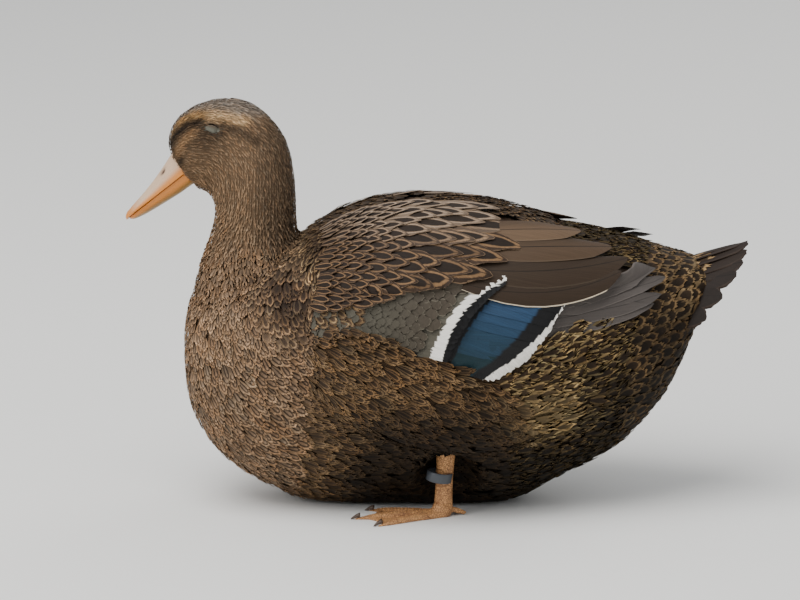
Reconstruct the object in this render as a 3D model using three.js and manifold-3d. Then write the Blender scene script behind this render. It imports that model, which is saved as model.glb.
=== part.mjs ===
// A heavy farmyard duck hen in mallard colours, resting low on her keel with both feet flat on the
// ground and her head turned a little to her right. Head, neck, bill, eyes, breast, trunk, rump, tail,
// mantle, flanks, wings, legs, feet and one leg ring are separate closed solids, parted by thin cuts.
// Millimetres; the bird faces -X, her left side is -Y, +Z is up, and the ground is z = 0.
import * as THREE from "three";
import { LoftGeometry } from "three/addons/geometries/LoftGeometry.js";
import { mergeVertices } from "three/addons/utils/BufferGeometryUtils.js";
import Module from "manifold-3d";

// ---- Driving dimensions -------------------------------------------------------------------------

const GAP = 0.4; // clearance kept between two solids that touch
const HEAD_YAW = THREE.MathUtils.degToRad(20); // the head's turn to the bird's right
const HEAD_PIVOT_X = -150; // upright axis of that turn, in the middle of the neck
const TWIST_LOW_Z = 195; // the neck's twist starts here
const TWIST_HIGH_Z = 240; // and is complete here

const EYE_RADIUS = 6.2;
const EYE_X = -174.5;
const EYE_Z = 304;
const EYE_SIDE = 15.2; // eyeball centre off the head's midline

const BILL_WIDTH = 27; // across the broad end
const BILL_BASE_WIDTH = 24;
const BILL_BASE = { x: -203, z: 263 }; // corner of the closed mouth, at the feathers
const BILL_TIP = { x: -255, z: 221.5 };
const BILL_UPPER_DEPTH = 20.5;
const BILL_LOWER_DEPTH = 9;

const TAIL_FEATHERS = 9;
const TAIL_FEATHER_WIDTH = 22;
const TAIL_FEATHER_THICKNESS = 2.4;
const TAIL_ROOF_THICKNESS = 1.6;
const PRIMARY_FEATHERS = 4;
const PRIMARY_WIDTH = 17;
const PRIMARY_THICKNESS = 2.6;

// Roots and tips of the folded primaries: x and z of the place on the body below, and height over it.
const PRIMARY_HIGH_ROOT = [70, 186, 1];
const PRIMARY_LOW_ROOT = [70, 160, 1];
const LEFT_TIPS = { highTip: [180, 192, 4], lowTip: [174, 175, 3] };
const RIGHT_TIPS = { highTip: [166, 203, 10], lowTip: [174, 185, 6] }; // held higher

const SHANK_X = 1;
const SHANK_SIDE = 58; // leg centre off the midline
const SHANK_TOP_Z = 74;
const SHANK_DEPTH = 15; // front to back
const SHANK_BREADTH = 11;
const BAY_LENGTH = 68; // hollow in the belly feathers round each leg
const BAY_BREADTH = 58;
const BAY_TOP_Z = 60;
const BAY_OFFSET = { x: 3, side: 8 };
const RING_Z = 33;
const RING_OUTER_RADIUS = 10.4;
const RING_WALL = 1.3;
const RING_HEIGHT = 8;
const RING_TILT = THREE.MathUtils.degToRad(9);
const FOOT_TURN = THREE.MathUtils.degToRad(9); // toes point a little outwards
const MIDDLE_TOE = 70;
const SIDE_TOE = 60;
const TOE_SPREAD = THREE.MathUtils.degToRad(23);
const TOE_RADIUS = 4.6;
const WEB_THICKNESS = 1.8;

// Stations of the body, from breast to tail root. Columns: low x, low z, high x, high z, centre y,
// half width. Low points run along breast, keel and vent, high points along the back.
const TRUNK = [
  [-206.5, 112, -206.5, 134, 0, 11],
  [-204.5, 88, -204.5, 156, 0, 31],
  [-198, 67, -198, 171, 0, 46],
  [-186, 47, -184, 181, 0, 59],
  [-170, 30, -164, 192, 0, 70],
  [-147, 15, -138, 206, 0, 79],
  [-118, 3, -106, 219, 0, 86],
  [-80, -3, -70, 231, 0, 91],
  [-30, -3, -30, 237, 0, 94],
  [25, -3, 30, 233.5, 0, 94],
  [62, 3, 75, 227, 0, 91],
  [99, 22, 115, 223, 0, 84],
  [134, 40, 150, 214, 0, 73],
  [159, 63, 180, 205, 0, 60],
  [181, 93, 202, 198, 0, 47],
  [194, 127, 212, 191, 0, 34],
  [204, 152, 218, 184, 0, 20],
];
const TRUNK_SHAPE = { waist: 0.52, upper: 2.35, lower: 1.95 };
const BREAST_END_X = -112; // where the breast ends, half way up
const RUMP_START_X = 140; // where the rump starts
const CUT_LEAN = THREE.MathUtils.degToRad(8);

// Head and neck together, from the bill's root over the crown and down the neck into the breast. Low
// points run down the throat, high points over forehead, crown and nape.
const HEAD_NECK = [
  [-201, 253.5, -221.5, 284, 0, 12],
  [-198.5, 251, -221, 295.5, 0, 16.5],
  [-195.5, 250, -213, 309, 0, 19.8],
  [-192.5, 249.5, -193.5, 321, 0, 22],
  [-190, 249, -169, 325.5, 0, 23.5],
  [-188, 248, -150.5, 321, 0, 24.2],
  [-186, 246, -134.5, 308, 0, 24.6],
  [-183.5, 242.5, -124, 292.5, 0, 25],
  [-182, 237, -119, 273, 0, 25.5],
  [-182, 230, -117, 251, 0, 26.5],
  [-184, 221, -117, 234, 0, 29],
  [-188, 209, -116, 217, 0, 34],
  [-193, 195, -109, 199, 0, 42],
  [-198, 178, -101, 180, 0, 50],
  [-201, 160, -93, 160, 0, 56],
];
const HEAD_NECK_SHAPE = { waist: 0.55, upper: 2.1, lower: 2.2 };
const HEAD_END = 7.5; // station where head and neck part
const HEAD_CUT = 0.03; // share of a station left between them

// Flank feathers of the left side, which cover the thigh and the wing's lower edge.
const FLANK = [
  [-114, 118, -114, 142, -70, 8],
  [-102, 99, -102, 160, -73, 18],
  [-80, 82, -80, 168, -76, 25],
  [-45, 67, -45, 163, -77, 28],
  [-10, 58, -10, 151, -76, 29],
  [22, 56, 22, 136, -74, 28],
  [46, 59, 46, 118, -71, 25],
  [61, 63, 61, 100, -68, 19],
  [70, 70, 70, 85, -66, 10],
];
const FLANK_SHAPE = { waist: 0.5, upper: 3, lower: 2.4 };

// Left wing as a shell on the trunk. Columns: x, lower edge z, upper edge z, thickness.
const WING = [
  [-106, 160, 170, 1.5],
  [-100, 150, 186, 4],
  [-80, 134, 204, 7],
  [-45, 118, 216, 8.5],
  [0, 116, 220, 9],
  [36, 120, 219, 8.5],
  [60, 134, 216, 8],
  [86, 154, 211, 7],
  [108, 178, 207, 6],
  [132, 187, 203, 4.5],
  [150, 193, 200, 3.2],
  [158, 196, 198, 1.8],
];

// Mantle and scapulars: a saddle over the back. Columns: x, lower edge z, thickness.
const RIDGE_Z = 250; // above the back's ridge
const MANTLE = [
  [-108, 200, 2],
  [-94, 188, 6],
  [-60, 184, 9.5],
  [-15, 187, 11.5],
  [30, 193, 11.5],
  [58, 202, 9.5],
  [76, 211, 6.5],
  [88, 219, 3],
];

// Side outline, as x and z, of the blue wing patch with its black and white borders.
const SPECULUM = [
  [49, 191],
  [36, 194],
  [13, 173],
  [-4, 150],
  [16, 118],
  [60, 118],
  [87, 153],
  [92, 170],
  [106, 189],
];

// ---- Tools --------------------------------------------------------------------------------------

const wasm = await Module();
wasm.setup();

// Smooth rows between the stations of a table, by station number.
function course(stations) {
  const places = stations.map((_, index) => index);
  const curve = new THREE.CubicInterpolant(places, stations.flat(), stations[0].length);
  return (place) => Array.from(curve.evaluate(place));
}

const power = (value, exponent) => Math.sign(value) * Math.abs(value) ** exponent;

// A point on a station's egg-shaped ring. The angle is 0 at the high point and runs round by the
// bird's left side; lift moves the point outwards.
function ringPoint([lowX, lowZ, highX, highZ, centreY, half], shape, angle, lift = 0) {
  const up = new THREE.Vector2(highX - lowX, highZ - lowZ);
  const height = up.length();
  up.normalize();
  const above = Math.cos(angle) > 0;
  const reach = (above ? 1 - shape.waist : shape.waist) * height + lift;
  const fullness = 2 / (above ? shape.upper : shape.lower);
  const along = shape.waist * height + reach * power(Math.cos(angle), fullness);
  const across = (half + lift) * power(Math.sin(angle), fullness);
  return new THREE.Vector3(lowX + up.x * along, centreY - across, lowZ + up.y * along);
}

// A closed loft through the rings of a table, between two places in it.
function loft(stations, shape, options) {
  const { sides, rings, from = 0, to = stations.length - 1, lift = 0, place = (p) => p } = options;
  const row = course(stations);
  const sections = [];
  for (let ring = 0; ring <= rings; ring += 1) {
    const at = THREE.MathUtils.lerp(from, to, ring / rings);
    const section = [];
    for (let side = 0; side < sides; side += 1) {
      const angle = (side / sides) * 2 * Math.PI;
      section.push(place(ringPoint(row(at), shape, angle, lift)));
    }
    sections.push(section);
  }
  return solidOf(closed(sections));
}

const closed = (sections) => new LoftGeometry(sections, { capStart: true, capEnd: true });

function solidOf(geometry) {
  const bare = new THREE.BufferGeometry();
  bare.setAttribute("position", geometry.getAttribute("position"));
  bare.setIndex(geometry.index);
  const merged = mergeVertices(bare, 1e-4);
  const triVerts = new Uint32Array(merged.index.array);
  const vertProperties = merged.attributes.position.array;
  return new wasm.Manifold(new wasm.Mesh({ numProp: 3, vertProperties, triVerts }));
}

function geometryOf(solid) {
  const { vertProperties, triVerts } = solid.getMesh();
  const geometry = new THREE.BufferGeometry();
  geometry.setAttribute("position", new THREE.BufferAttribute(vertProperties, 3));
  geometry.setIndex(new THREE.BufferAttribute(triVerts, 1));
  geometry.computeVertexNormals();
  return geometry;
}

// A solid moved, turned or mirrored by a matrix. A mirror turns each face round, so it is turned back.
function moved(solid, matrix) {
  const geometry = geometryOf(solid).applyMatrix4(matrix);
  const corners = geometry.index.array;
  for (let first = 0; matrix.determinant() < 0 && first < corners.length; first += 3) {
    [corners[first + 1], corners[first + 2]] = [corners[first + 2], corners[first + 1]];
  }
  return solidOf(geometry);
}

const MIRROR = new THREE.Matrix4().makeScale(1, -1, 1);
const mirrored = (solid) => moved(solid, MIRROR);

const join = (solids) => solids.reduce((whole, solid) => whole.add(solid));
const cut = (solid, ...tools) => mainBody(tools.reduce((rest, tool) => rest.subtract(tool), solid));

// The largest body of a solid: a cut along two curved faces can leave crumbs beside it.
function mainBody(solid) {
  const bodies = solid.decompose();
  return bodies.reduce((largest, body) => (body.volume() > largest.volume() ? body : largest));
}

// Everything below the ground, for cutting the flats that the bird rests on.
function ground() {
  const depth = 60;
  const box = new THREE.BoxGeometry(700, 400, depth);
  box.translate(0, 0, -depth / 2);
  return solidOf(box);
}

// A feather blade along a line: a thin lens in section, widest past its middle, with a rounded tip.
// Up is the side that faces out, and camber drops its edges.
function blade({ line, up, width, thickness, camber, point, shares }) {
  const sections = shares.map((share) => {
    const tipTaper = Math.sqrt(1 - Math.max(0, (share - point) / (1 - point)) ** 2);
    const half = (width / 2) * tipTaper * THREE.MathUtils.lerp(0.8, 1, Math.min(1, share / point));
    const thick = thickness * THREE.MathUtils.lerp(1, 0.55, share);
    const centre = line(share);
    const along = line(share + 0.05).sub(line(share - 0.05));
    const across = new THREE.Vector3().crossVectors(up(share), along).normalize();
    const out = new THREE.Vector3().crossVectors(along, across).normalize();
    const corners = [[1, 0.3], [0.5, 0.85], [-0.5, 0.85], [-1, 0.3], [-1, 0], [1, 0]];
    return corners.map(([side, level]) => centre.clone()
      .addScaledVector(across, side * half)
      .addScaledVector(out, level * thick - camber * half * side * side));
  });
  return solidOf(closed(sections));
}

// ---- Body ---------------------------------------------------------------------------------------

const trunkRow = course(TRUNK);
const TRUNK_RESOLUTION = { sides: 24, rings: 22 };
const floorCutter = ground();

const trunkWhole = (lift) => loft(TRUNK, TRUNK_SHAPE, { ...TRUNK_RESOLUTION, lift });

// A thin upright slab across the body, leaning back by an angle, that parts it in two.
function thinCut(x, lean) {
  const slab = new THREE.BoxGeometry(GAP, 400, 700);
  slab.rotateY(lean);
  slab.translate(x, 0, 120);
  return solidOf(slab);
}

// The bay in the belly feathers on the left in which the leg stands.
function legBay(lift) {
  const bay = new THREE.SphereGeometry(1, 12, 8);
  bay.rotateX(Math.PI / 2);
  bay.scale(BAY_LENGTH / 2 + lift, BAY_BREADTH / 2 + lift, BAY_TOP_Z + lift);
  bay.translate(SHANK_X + BAY_OFFSET.x, -SHANK_SIDE - BAY_OFFSET.side, 0);
  return solidOf(bay);
}

// Breast, trunk and rump, from front to back, with the flats and the leg bays.
function trunkLengths() {
  const bay = legBay(0);
  const whole = cut(trunkWhole(0), floorCutter, bay, mirrored(bay));
  const parted = whole.subtract(thinCut(BREAST_END_X, CUT_LEAN)).subtract(thinCut(RUMP_START_X, CUT_LEAN));
  const frontOf = (body) => body.boundingBox().min[0];
  return parted.decompose().sort((one, other) => frontOf(one) - frontOf(other));
}

// Where the trunk's left side passes a point seen from the side: the station's place in the table,
// and the angle on its ring.
function onTrunk(x, z) {
  let low = 0;
  let high = TRUNK.length - 1;
  const shareAt = (place) => {
    const [, lowZ, , highZ] = trunkRow(place);
    return THREE.MathUtils.clamp((z - lowZ) / (highZ - lowZ), 0, 1);
  };
  for (let halving = 0; halving < 24; halving += 1) {
    const place = (low + high) / 2;
    const [lowX, , highX] = trunkRow(place);
    if (THREE.MathUtils.lerp(lowX, highX, shareAt(place)) < x) {
      low = place;
    } else {
      high = place;
    }
  }
  const above = shareAt(low) > TRUNK_SHAPE.waist;
  const span = above ? 1 - TRUNK_SHAPE.waist : TRUNK_SHAPE.waist;
  const fullness = (above ? TRUNK_SHAPE.upper : TRUNK_SHAPE.lower) / 2;
  return { place: low, angle: Math.acos(power((shareAt(low) - TRUNK_SHAPE.waist) / span, fullness)) };
}

// One section of a shell on the trunk, through a row of places and angles. Edge is the share of the
// thickness that is left at its edges.
function shellSection(spots, thickness, edge) {
  const last = spots.length - 1;
  const outside = spots.map(({ place, angle }, number) => {
    const swell = edge + (1 - edge) * Math.sin((Math.PI * number) / last) ** 0.6;
    return ringPoint(trunkRow(place), TRUNK_SHAPE, angle, thickness * swell);
  });
  const depth = -4;
  const inside = spots.filter((spot, number) => number % 2 === 0)
    .map(({ place, angle }) => ringPoint(trunkRow(place), TRUNK_SHAPE, angle, depth));
  return [...outside, ...inside.reverse()];
}

// Evenly spaced spots on the trunk from one to another.
function spotsBetween(from, to, steps) {
  return Array.from({ length: steps + 1 }, (_, step) => ({
    place: THREE.MathUtils.lerp(from.place, to.place, step / steps),
    angle: THREE.MathUtils.lerp(from.angle, to.angle, step / steps),
  }));
}

// The wing's shell before its neighbours trim it.
function wingShell(lift) {
  const row = course(WING);
  const rings = 13;
  const sections = [];
  for (let ring = 0; ring <= rings; ring += 1) {
    const [x, low, high, thickness] = row((ring / rings) * (WING.length - 1));
    const spots = spotsBetween(onTrunk(x, high + lift), onTrunk(x, low - lift), 6);
    sections.push(shellSection(spots, thickness + lift, 0.45));
  }
  return solidOf(closed(sections));
}

// The mantle's saddle before the trunk trims it.
function mantleShell(lift) {
  const row = course(MANTLE);
  const rings = 10;
  const sections = [];
  for (let ring = 0; ring <= rings; ring += 1) {
    const [x, low, thickness] = row((ring / rings) * (MANTLE.length - 1));
    const left = onTrunk(x, low - lift);
    const ridge = { place: onTrunk(x, RIDGE_Z).place, angle: 0 };
    const leftHalf = spotsBetween(ridge, left, 6);
    const rightHalf = leftHalf.slice(1).map(({ place, angle }) => ({ place, angle: -angle }));
    sections.push(shellSection([...rightHalf.reverse(), ...leftHalf], thickness + lift, 0.95));
  }
  return solidOf(closed(sections));
}

// A straight-sided cutter through the left side, from an outline seen from the side.
function sideCutter(outline, lift) {
  const middle = outline.reduce(([x, z], [px, pz]) => [x + px, z + pz], [0, 0])
    .map((sum) => sum / outline.length);
  const points = outline.map(([x, z]) => {
    const out = new THREE.Vector2(x - middle[0], z - middle[1]);
    out.setLength(out.length() + lift);
    return new THREE.Vector2(middle[0] + out.x, middle[1] + out.y);
  });
  const depth = 200;
  const prism = new THREE.ExtrudeGeometry(new THREE.Shape(points), { depth, bevelEnabled: false });
  prism.rotateX(Math.PI / 2);
  return solidOf(prism);
}

// ---- Wings, flanks and mantle -------------------------------------------------------------------

const trunkGrown = trunkWhole(GAP);
const flankWhole = (lift) => loft(FLANK, FLANK_SHAPE, { sides: 14, rings: 11, lift });

const mix = (from, to, share) => from.map((value, axis) => THREE.MathUtils.lerp(value, to[axis], share));

// A point over the trunk's left side: x and z of the place under it, and its height above it.
function overTrunk([x, z, height]) {
  const { place, angle } = onTrunk(x, z);
  return ringPoint(trunkRow(place), TRUNK_SHAPE, angle, height);
}

// The folded primaries of a wing as overlapping blades along the body, from the highest to the lowest.
function flightFeathers({ highTip, lowTip }) {
  const feathers = [];
  for (let number = 0; number < PRIMARY_FEATHERS; number += 1) {
    const share = number / (PRIMARY_FEATHERS - 1);
    const root = mix(PRIMARY_HIGH_ROOT, PRIMARY_LOW_ROOT, share);
    const tip = mix(highTip, lowTip, share);
    feathers.push(blade({
      line: (part) => overTrunk(mix(root, tip, part)),
      up: (part) => {
        const [x, z] = mix(root, tip, part);
        return overTrunk([x, z, 5]).sub(overTrunk([x, z, 0]));
      },
      width: PRIMARY_WIDTH,
      thickness: PRIMARY_THICKNESS,
      camber: 0.12,
      point: 0.72,
      shares: [0, 0.3, 0.6, 0.84, 0.985],
    }));
  }
  return join(feathers);
}

// ---- Tail ---------------------------------------------------------------------------------------

// Arched fan: the middle feathers are longest and highest, the outer ones lie low and slanting.
// Side runs from -1 at the outermost left feather to 1 at the outermost right one.
function tailPoint(side, share) {
  const off = Math.abs(side);
  const root = new THREE.Vector3(168, side * 20, 184 - 20 * off ** 2);
  const tip = new THREE.Vector3(246 - 41 * off ** 1.8, side * 50, 210 - 54 * off ** 2);
  return root.lerp(tip, share);
}

// The vanes' overlap under the feathers, as one thin roof that ties them together.
function tailRoof() {
  const sections = [];
  const across = 8;
  for (const share of [0, 0.4, 0.8]) {
    const top = [];
    for (let step = 0; step <= across; step += 1) {
      top.push(tailPoint(1 - (2 * step) / across, share));
    }
    const under = top.map((point) => point.clone().add(new THREE.Vector3(0, 0, -TAIL_ROOF_THICKNESS)));
    sections.push([...top, ...under.reverse()]);
  }
  return solidOf(closed(sections));
}

function tailFan() {
  const feathers = [tailRoof()];
  for (let number = 0; number < TAIL_FEATHERS; number += 1) {
    const side = (2 * number) / (TAIL_FEATHERS - 1) - 1;
    const up = new THREE.Vector3().crossVectors(
      tailPoint(side, 1).sub(tailPoint(side, 0)),
      tailPoint(side + 0.05, 0.7).sub(tailPoint(side - 0.05, 0.7)));
    feathers.push(blade({
      line: (share) => tailPoint(side, share),
      up: () => up,
      width: TAIL_FEATHER_WIDTH,
      thickness: TAIL_FEATHER_THICKNESS,
      camber: 0.08,
      point: 0.78,
      shares: [0, 0.55, 0.86, 0.985],
    }));
  }
  return join(feathers);
}

// ---- Bill ---------------------------------------------------------------------------------------

// Stations from tip to root of one half of the bill. Columns of the profile: share of the length
// from the root, depth and width as shares of the full ones.
function billHalf(profile, depth, side) {
  const mouth = new THREE.Vector2(BILL_TIP.x - BILL_BASE.x, BILL_TIP.z - BILL_BASE.z);
  const dorsal = new THREE.Vector2(mouth.y, -mouth.x).normalize();
  const parting = side * (GAP / 2);
  return profile.map(([share, depthShare, widthShare]) => {
    const x = BILL_BASE.x + mouth.x * share + dorsal.x * parting;
    const z = BILL_BASE.z + mouth.y * share + dorsal.y * parting;
    const reach = side * depth * depthShare;
    const far = [x + dorsal.x * reach, z + dorsal.y * reach];
    const ends = side > 0 ? [x, z, ...far] : [...far, x, z];
    return [...ends, 0, widthShare];
  });
}

const UPPER_BILL = [
  [1.005, 0.1, 4.5],
  [0.985, 0.18, 8.5],
  [0.93, 0.25, 11.8],
  [0.8, 0.34, BILL_WIDTH / 2],
  [0.6, 0.47, 12.6],
  [0.4, 0.62, 11.8],
  [0.2, 0.8, BILL_BASE_WIDTH / 2],
  [0, 1, BILL_BASE_WIDTH / 2],
  [-0.12, 1.02, 11],
];
const LOWER_BILL = [
  [0.97, 0.15, 4],
  [0.94, 0.3, 7.6],
  [0.88, 0.45, 10],
  [0.75, 0.62, 11.6],
  [0.5, 0.82, 10.8],
  [0.25, 1, 10.4],
  [0, 1.05, 10.4],
  [-0.1, 1, 9.5],
];

// ---- Legs and feet ------------------------------------------------------------------------------

function shank() {
  const stations = [
    [SHANK_X + 7, 6, SHANK_X - 9, 6, -SHANK_SIDE, 6.5],
    [SHANK_X + 6.5, 12, SHANK_X - 8.5, 12, -SHANK_SIDE, 6.2],
    [SHANK_X + SHANK_DEPTH / 2 - 1, 24, SHANK_X - SHANK_DEPTH / 2, 24, -SHANK_SIDE, SHANK_BREADTH / 2],
    [SHANK_X + SHANK_DEPTH / 2, 40, SHANK_X - SHANK_DEPTH / 2 + 0.5, 40, -SHANK_SIDE, SHANK_BREADTH / 2],
    [SHANK_X + SHANK_DEPTH / 2 + 2, 56, SHANK_X - SHANK_DEPTH / 2 + 0.5, 56, -SHANK_SIDE, 6.6],
    [SHANK_X + SHANK_DEPTH / 2 + 4, SHANK_TOP_Z, SHANK_X - SHANK_DEPTH / 2, SHANK_TOP_Z, -SHANK_SIDE, 7.6],
  ];
  return loft(stations, { waist: 0.5, upper: 2, lower: 2 }, { sides: 10, rings: 6 });
}

// One toe from the foot's joint, ending in a blunt claw, with knuckles along it.
function toe(length, turn, start, radius) {
  const stations = [];
  const steps = 9;
  for (let step = 0; step <= steps; step += 1) {
    const share = step / steps;
    const knuckle = 1 + 0.1 * Math.cos(share * 6 * Math.PI);
    const claw = share > 0.86 ? 1 - 0.62 * ((share - 0.86) / 0.14) : 1;
    const size = radius * THREE.MathUtils.lerp(1.15, 0.72, share) * knuckle * claw;
    const x = -length * share;
    stations.push([x, size * 1.5 - 1, x, -1, 0, size]);
  }
  const bent = (point) => point.applyAxisAngle(new THREE.Vector3(0, 0, 1), turn).add(start);
  return loft(stations, { waist: 0.5, upper: 2.2, lower: 2.2 }, { sides: 6, rings: 5, place: bent });
}

// The web: a thin plate with hollow front edges between the three toes.
function web(start) {
  const end = (length, turn) => new THREE.Vector2(-length * Math.cos(turn), -length * Math.sin(turn));
  const inner = end(SIDE_TOE * 0.9, -TOE_SPREAD);
  const middle = end(MIDDLE_TOE * 0.9, 0);
  const outer = end(SIDE_TOE * 0.93, TOE_SPREAD);
  const notch = 0.86;
  const shape = new THREE.Shape();
  shape.moveTo(4, -5);
  shape.lineTo(4, 5);
  shape.lineTo(inner.x, inner.y);
  shape.quadraticCurveTo((inner.x + middle.x) * 0.5 * notch, (inner.y + middle.y) * 0.5 * notch,
    middle.x, middle.y);
  shape.quadraticCurveTo((outer.x + middle.x) * 0.5 * notch, (outer.y + middle.y) * 0.5 * notch,
    outer.x, outer.y);
  shape.closePath();
  const plate = new THREE.ExtrudeGeometry(shape, {
    depth: WEB_THICKNESS, bevelEnabled: false, curveSegments: 4,
  });
  plate.translate(start.x, start.y, 0);
  return solidOf(plate);
}

function foot() {
  const joint = new THREE.Vector3(0, 0, 0);
  const toes = [
    toe(MIDDLE_TOE, 0, joint, TOE_RADIUS),
    toe(SIDE_TOE, -TOE_SPREAD, joint, TOE_RADIUS * 0.92),
    toe(SIDE_TOE, TOE_SPREAD, joint, TOE_RADIUS * 0.92),
  ];
  const heel = new THREE.SphereGeometry(1, 8, 5);
  heel.scale(9, 7.5, 9);
  heel.translate(0, 0, 5);
  const hindStations = [
    [6, 8, 2, 4, 0, 2.4],
    [11, 7, 8, 2.5, 0, 2.2],
    [16, 5, 14, 1, 0, 1.8],
    [20, 2.6, 19, 0.4, 0, 0.9],
  ];
  const hindToe = loft(
    hindStations.map(([lowX, lowZ, highX, highZ, y, half]) => [highX, highZ, lowX, lowZ, y, half]),
    { waist: 0.5, upper: 2, lower: 2 }, { sides: 6, rings: 4 });
  const whole = cut(join([...toes, web(joint), solidOf(heel), hindToe]), floorCutter);
  const stand = new THREE.Matrix4().makeRotationZ(FOOT_TURN).setPosition(SHANK_X - 2, -SHANK_SIDE, 0);
  return moved(whole, stand);
}

// A plain split-free band, hanging loose on the shank.
function legRing() {
  const inner = RING_OUTER_RADIUS - RING_WALL;
  const half = RING_HEIGHT / 2;
  const profile = [
    new THREE.Vector2(inner, -half),
    new THREE.Vector2(RING_OUTER_RADIUS, -half),
    new THREE.Vector2(RING_OUTER_RADIUS, half),
    new THREE.Vector2(inner, half),
    new THREE.Vector2(inner, -half),
  ];
  const ring = new THREE.LatheGeometry(profile, 18);
  ring.rotateX(Math.PI / 2);
  return ring;
}

// ---- The bird -----------------------------------------------------------------------------------

const plumage = (color) => new THREE.MeshStandardMaterial({ color, roughness: 0.85, metalness: 0 });
const horn = (color) => new THREE.MeshStandardMaterial({ color, roughness: 0.45, metalness: 0 });

const BROWN = 0x6e5541;
const DARK_BROWN = 0x463428;
const WING_GREY = 0x504e44;
const SLATE = 0x55504e;
const BLUE = 0x3c5f96;
const ORANGE = 0xcd8737;

const duck = new THREE.Group();

function show(name, geometry, material, parent = duck) {
  const mesh = new THREE.Mesh(geometry, material);
  mesh.name = name;
  parent.add(mesh);
  return mesh;
}

// Shows a left-side solid and its mirror image, each trimmed by solids that lie across the midline.
function showPair(name, solid, material, cutters = [], parent = duck) {
  show(`${name}_left`, geometryOf(cut(solid, ...cutters)), material, parent);
  show(`${name}_right`, geometryOf(cut(mirrored(solid), ...cutters)), material, parent);
}

const flankCutter = flankWhole(GAP);
const mantleCutter = mantleShell(GAP);
const wingWhole = cut(wingShell(0), flankCutter);
const footSolid = foot();

const [breast, trunk, rump] = trunkLengths();
show("breast", geometryOf(breast), plumage(BROWN));
show("trunk", geometryOf(trunk), plumage(BROWN));
show("rump", geometryOf(rump), plumage(DARK_BROWN));
show("mantle", geometryOf(cut(mantleShell(0), trunkGrown)), plumage(DARK_BROWN));
show("tail", geometryOf(cut(tailFan(), trunkGrown)), plumage(DARK_BROWN));
const bodyCutters = [trunkGrown, mantleCutter];
showPair("wing", cut(wingWhole, sideCutter(SPECULUM, GAP)), plumage(WING_GREY), bodyCutters);
showPair("speculum", wingWhole.intersect(sideCutter(SPECULUM, 0)), plumage(BLUE), bodyCutters);
const wingCutter = wingShell(GAP);
const leftPrimaries = cut(flightFeathers(LEFT_TIPS), wingCutter, ...bodyCutters);
const rightPrimaries = cut(mirrored(cut(flightFeathers(RIGHT_TIPS), wingCutter)), ...bodyCutters);
show("primaries_left", geometryOf(leftPrimaries), plumage(SLATE));
show("primaries_right", geometryOf(rightPrimaries), plumage(SLATE));
showPair("flank", flankWhole(0), plumage(BROWN), [trunkGrown]);

const twist = (point) => {
  const share = THREE.MathUtils.smoothstep(point.z, TWIST_LOW_Z, TWIST_HIGH_Z);
  point.x -= HEAD_PIVOT_X;
  point.applyAxisAngle(new THREE.Vector3(0, 0, 1), -HEAD_YAW * share);
  point.x += HEAD_PIVOT_X;
  return point;
};
const neckLoft = loft(HEAD_NECK, HEAD_NECK_SHAPE, {
  sides: 18, rings: 9, from: HEAD_END + HEAD_CUT, place: twist,
});
show("neck", geometryOf(cut(neckLoft, trunkGrown)), plumage(BROWN));

// Head, bill and eyes are built facing straight ahead and turned together.
const headTurn = new THREE.Group();
headTurn.position.x = HEAD_PIVOT_X;
headTurn.rotation.z = -HEAD_YAW;
const headFrame = new THREE.Group();
headFrame.position.x = -HEAD_PIVOT_X;
headTurn.add(headFrame);
duck.add(headTurn);

const eyeBall = (radius) => {
  const ball = new THREE.SphereGeometry(radius, 10, 7);
  ball.translate(EYE_X, -EYE_SIDE, EYE_Z);
  return solidOf(ball);
};
const BILL_RESOLUTION = { sides: 10, rings: 9 };
const UPPER_SHAPE = { waist: 0.12, upper: 2.1, lower: 3 };
const LOWER_SHAPE = { waist: 0.86, upper: 3, lower: 2.2 };
const upperBill = (lift) =>
  loft(billHalf(UPPER_BILL, BILL_UPPER_DEPTH, 1), UPPER_SHAPE, { ...BILL_RESOLUTION, lift });
const lowerBill = (lift) =>
  loft(billHalf(LOWER_BILL, BILL_LOWER_DEPTH, -1), LOWER_SHAPE, { ...BILL_RESOLUTION, lift });
const eyeCutter = eyeBall(EYE_RADIUS + GAP);
const headSolid = cut(
  loft(HEAD_NECK, HEAD_NECK_SHAPE, { sides: 18, rings: 11, to: HEAD_END }),
  eyeCutter, mirrored(eyeCutter), upperBill(GAP), lowerBill(GAP));
show("head", geometryOf(headSolid), plumage(BROWN), headFrame);
show("bill_upper", geometryOf(upperBill(0)), horn(ORANGE), headFrame);
show("bill_lower", geometryOf(lowerBill(0)), horn(ORANGE), headFrame);
showPair("eye", eyeBall(EYE_RADIUS), horn(0x1c140e), [], headFrame);

showPair("foot", footSolid, horn(ORANGE));
const innerBay = legBay(-GAP);
const bayedTrunk = trunkGrown.subtract(innerBay).subtract(mirrored(innerBay));
showPair("shank", cut(shank(), flankCutter, footSolid), horn(ORANGE), [bayedTrunk]);
const ring = show("leg_ring", legRing(), horn(0x414b5a));
ring.position.set(SHANK_X - 0.8, -SHANK_SIDE, RING_Z);
ring.rotation.y = RING_TILT;

// The frame's origin is under the middle of the whole bird, on the ground.
const middle = new THREE.Box3().setFromObject(duck, true).getCenter(new THREE.Vector3());
duck.position.set(-middle.x, -middle.y, 0);

export default duck;
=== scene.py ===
from itertools import product
from math import cos, pi, radians, sin
from types import SimpleNamespace

import bmesh
import bpy
import numpy as np
from mathutils import Matrix, Vector
from mathutils.bvhtree import BVHTree
from mathutils.kdtree import KDTree


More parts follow.
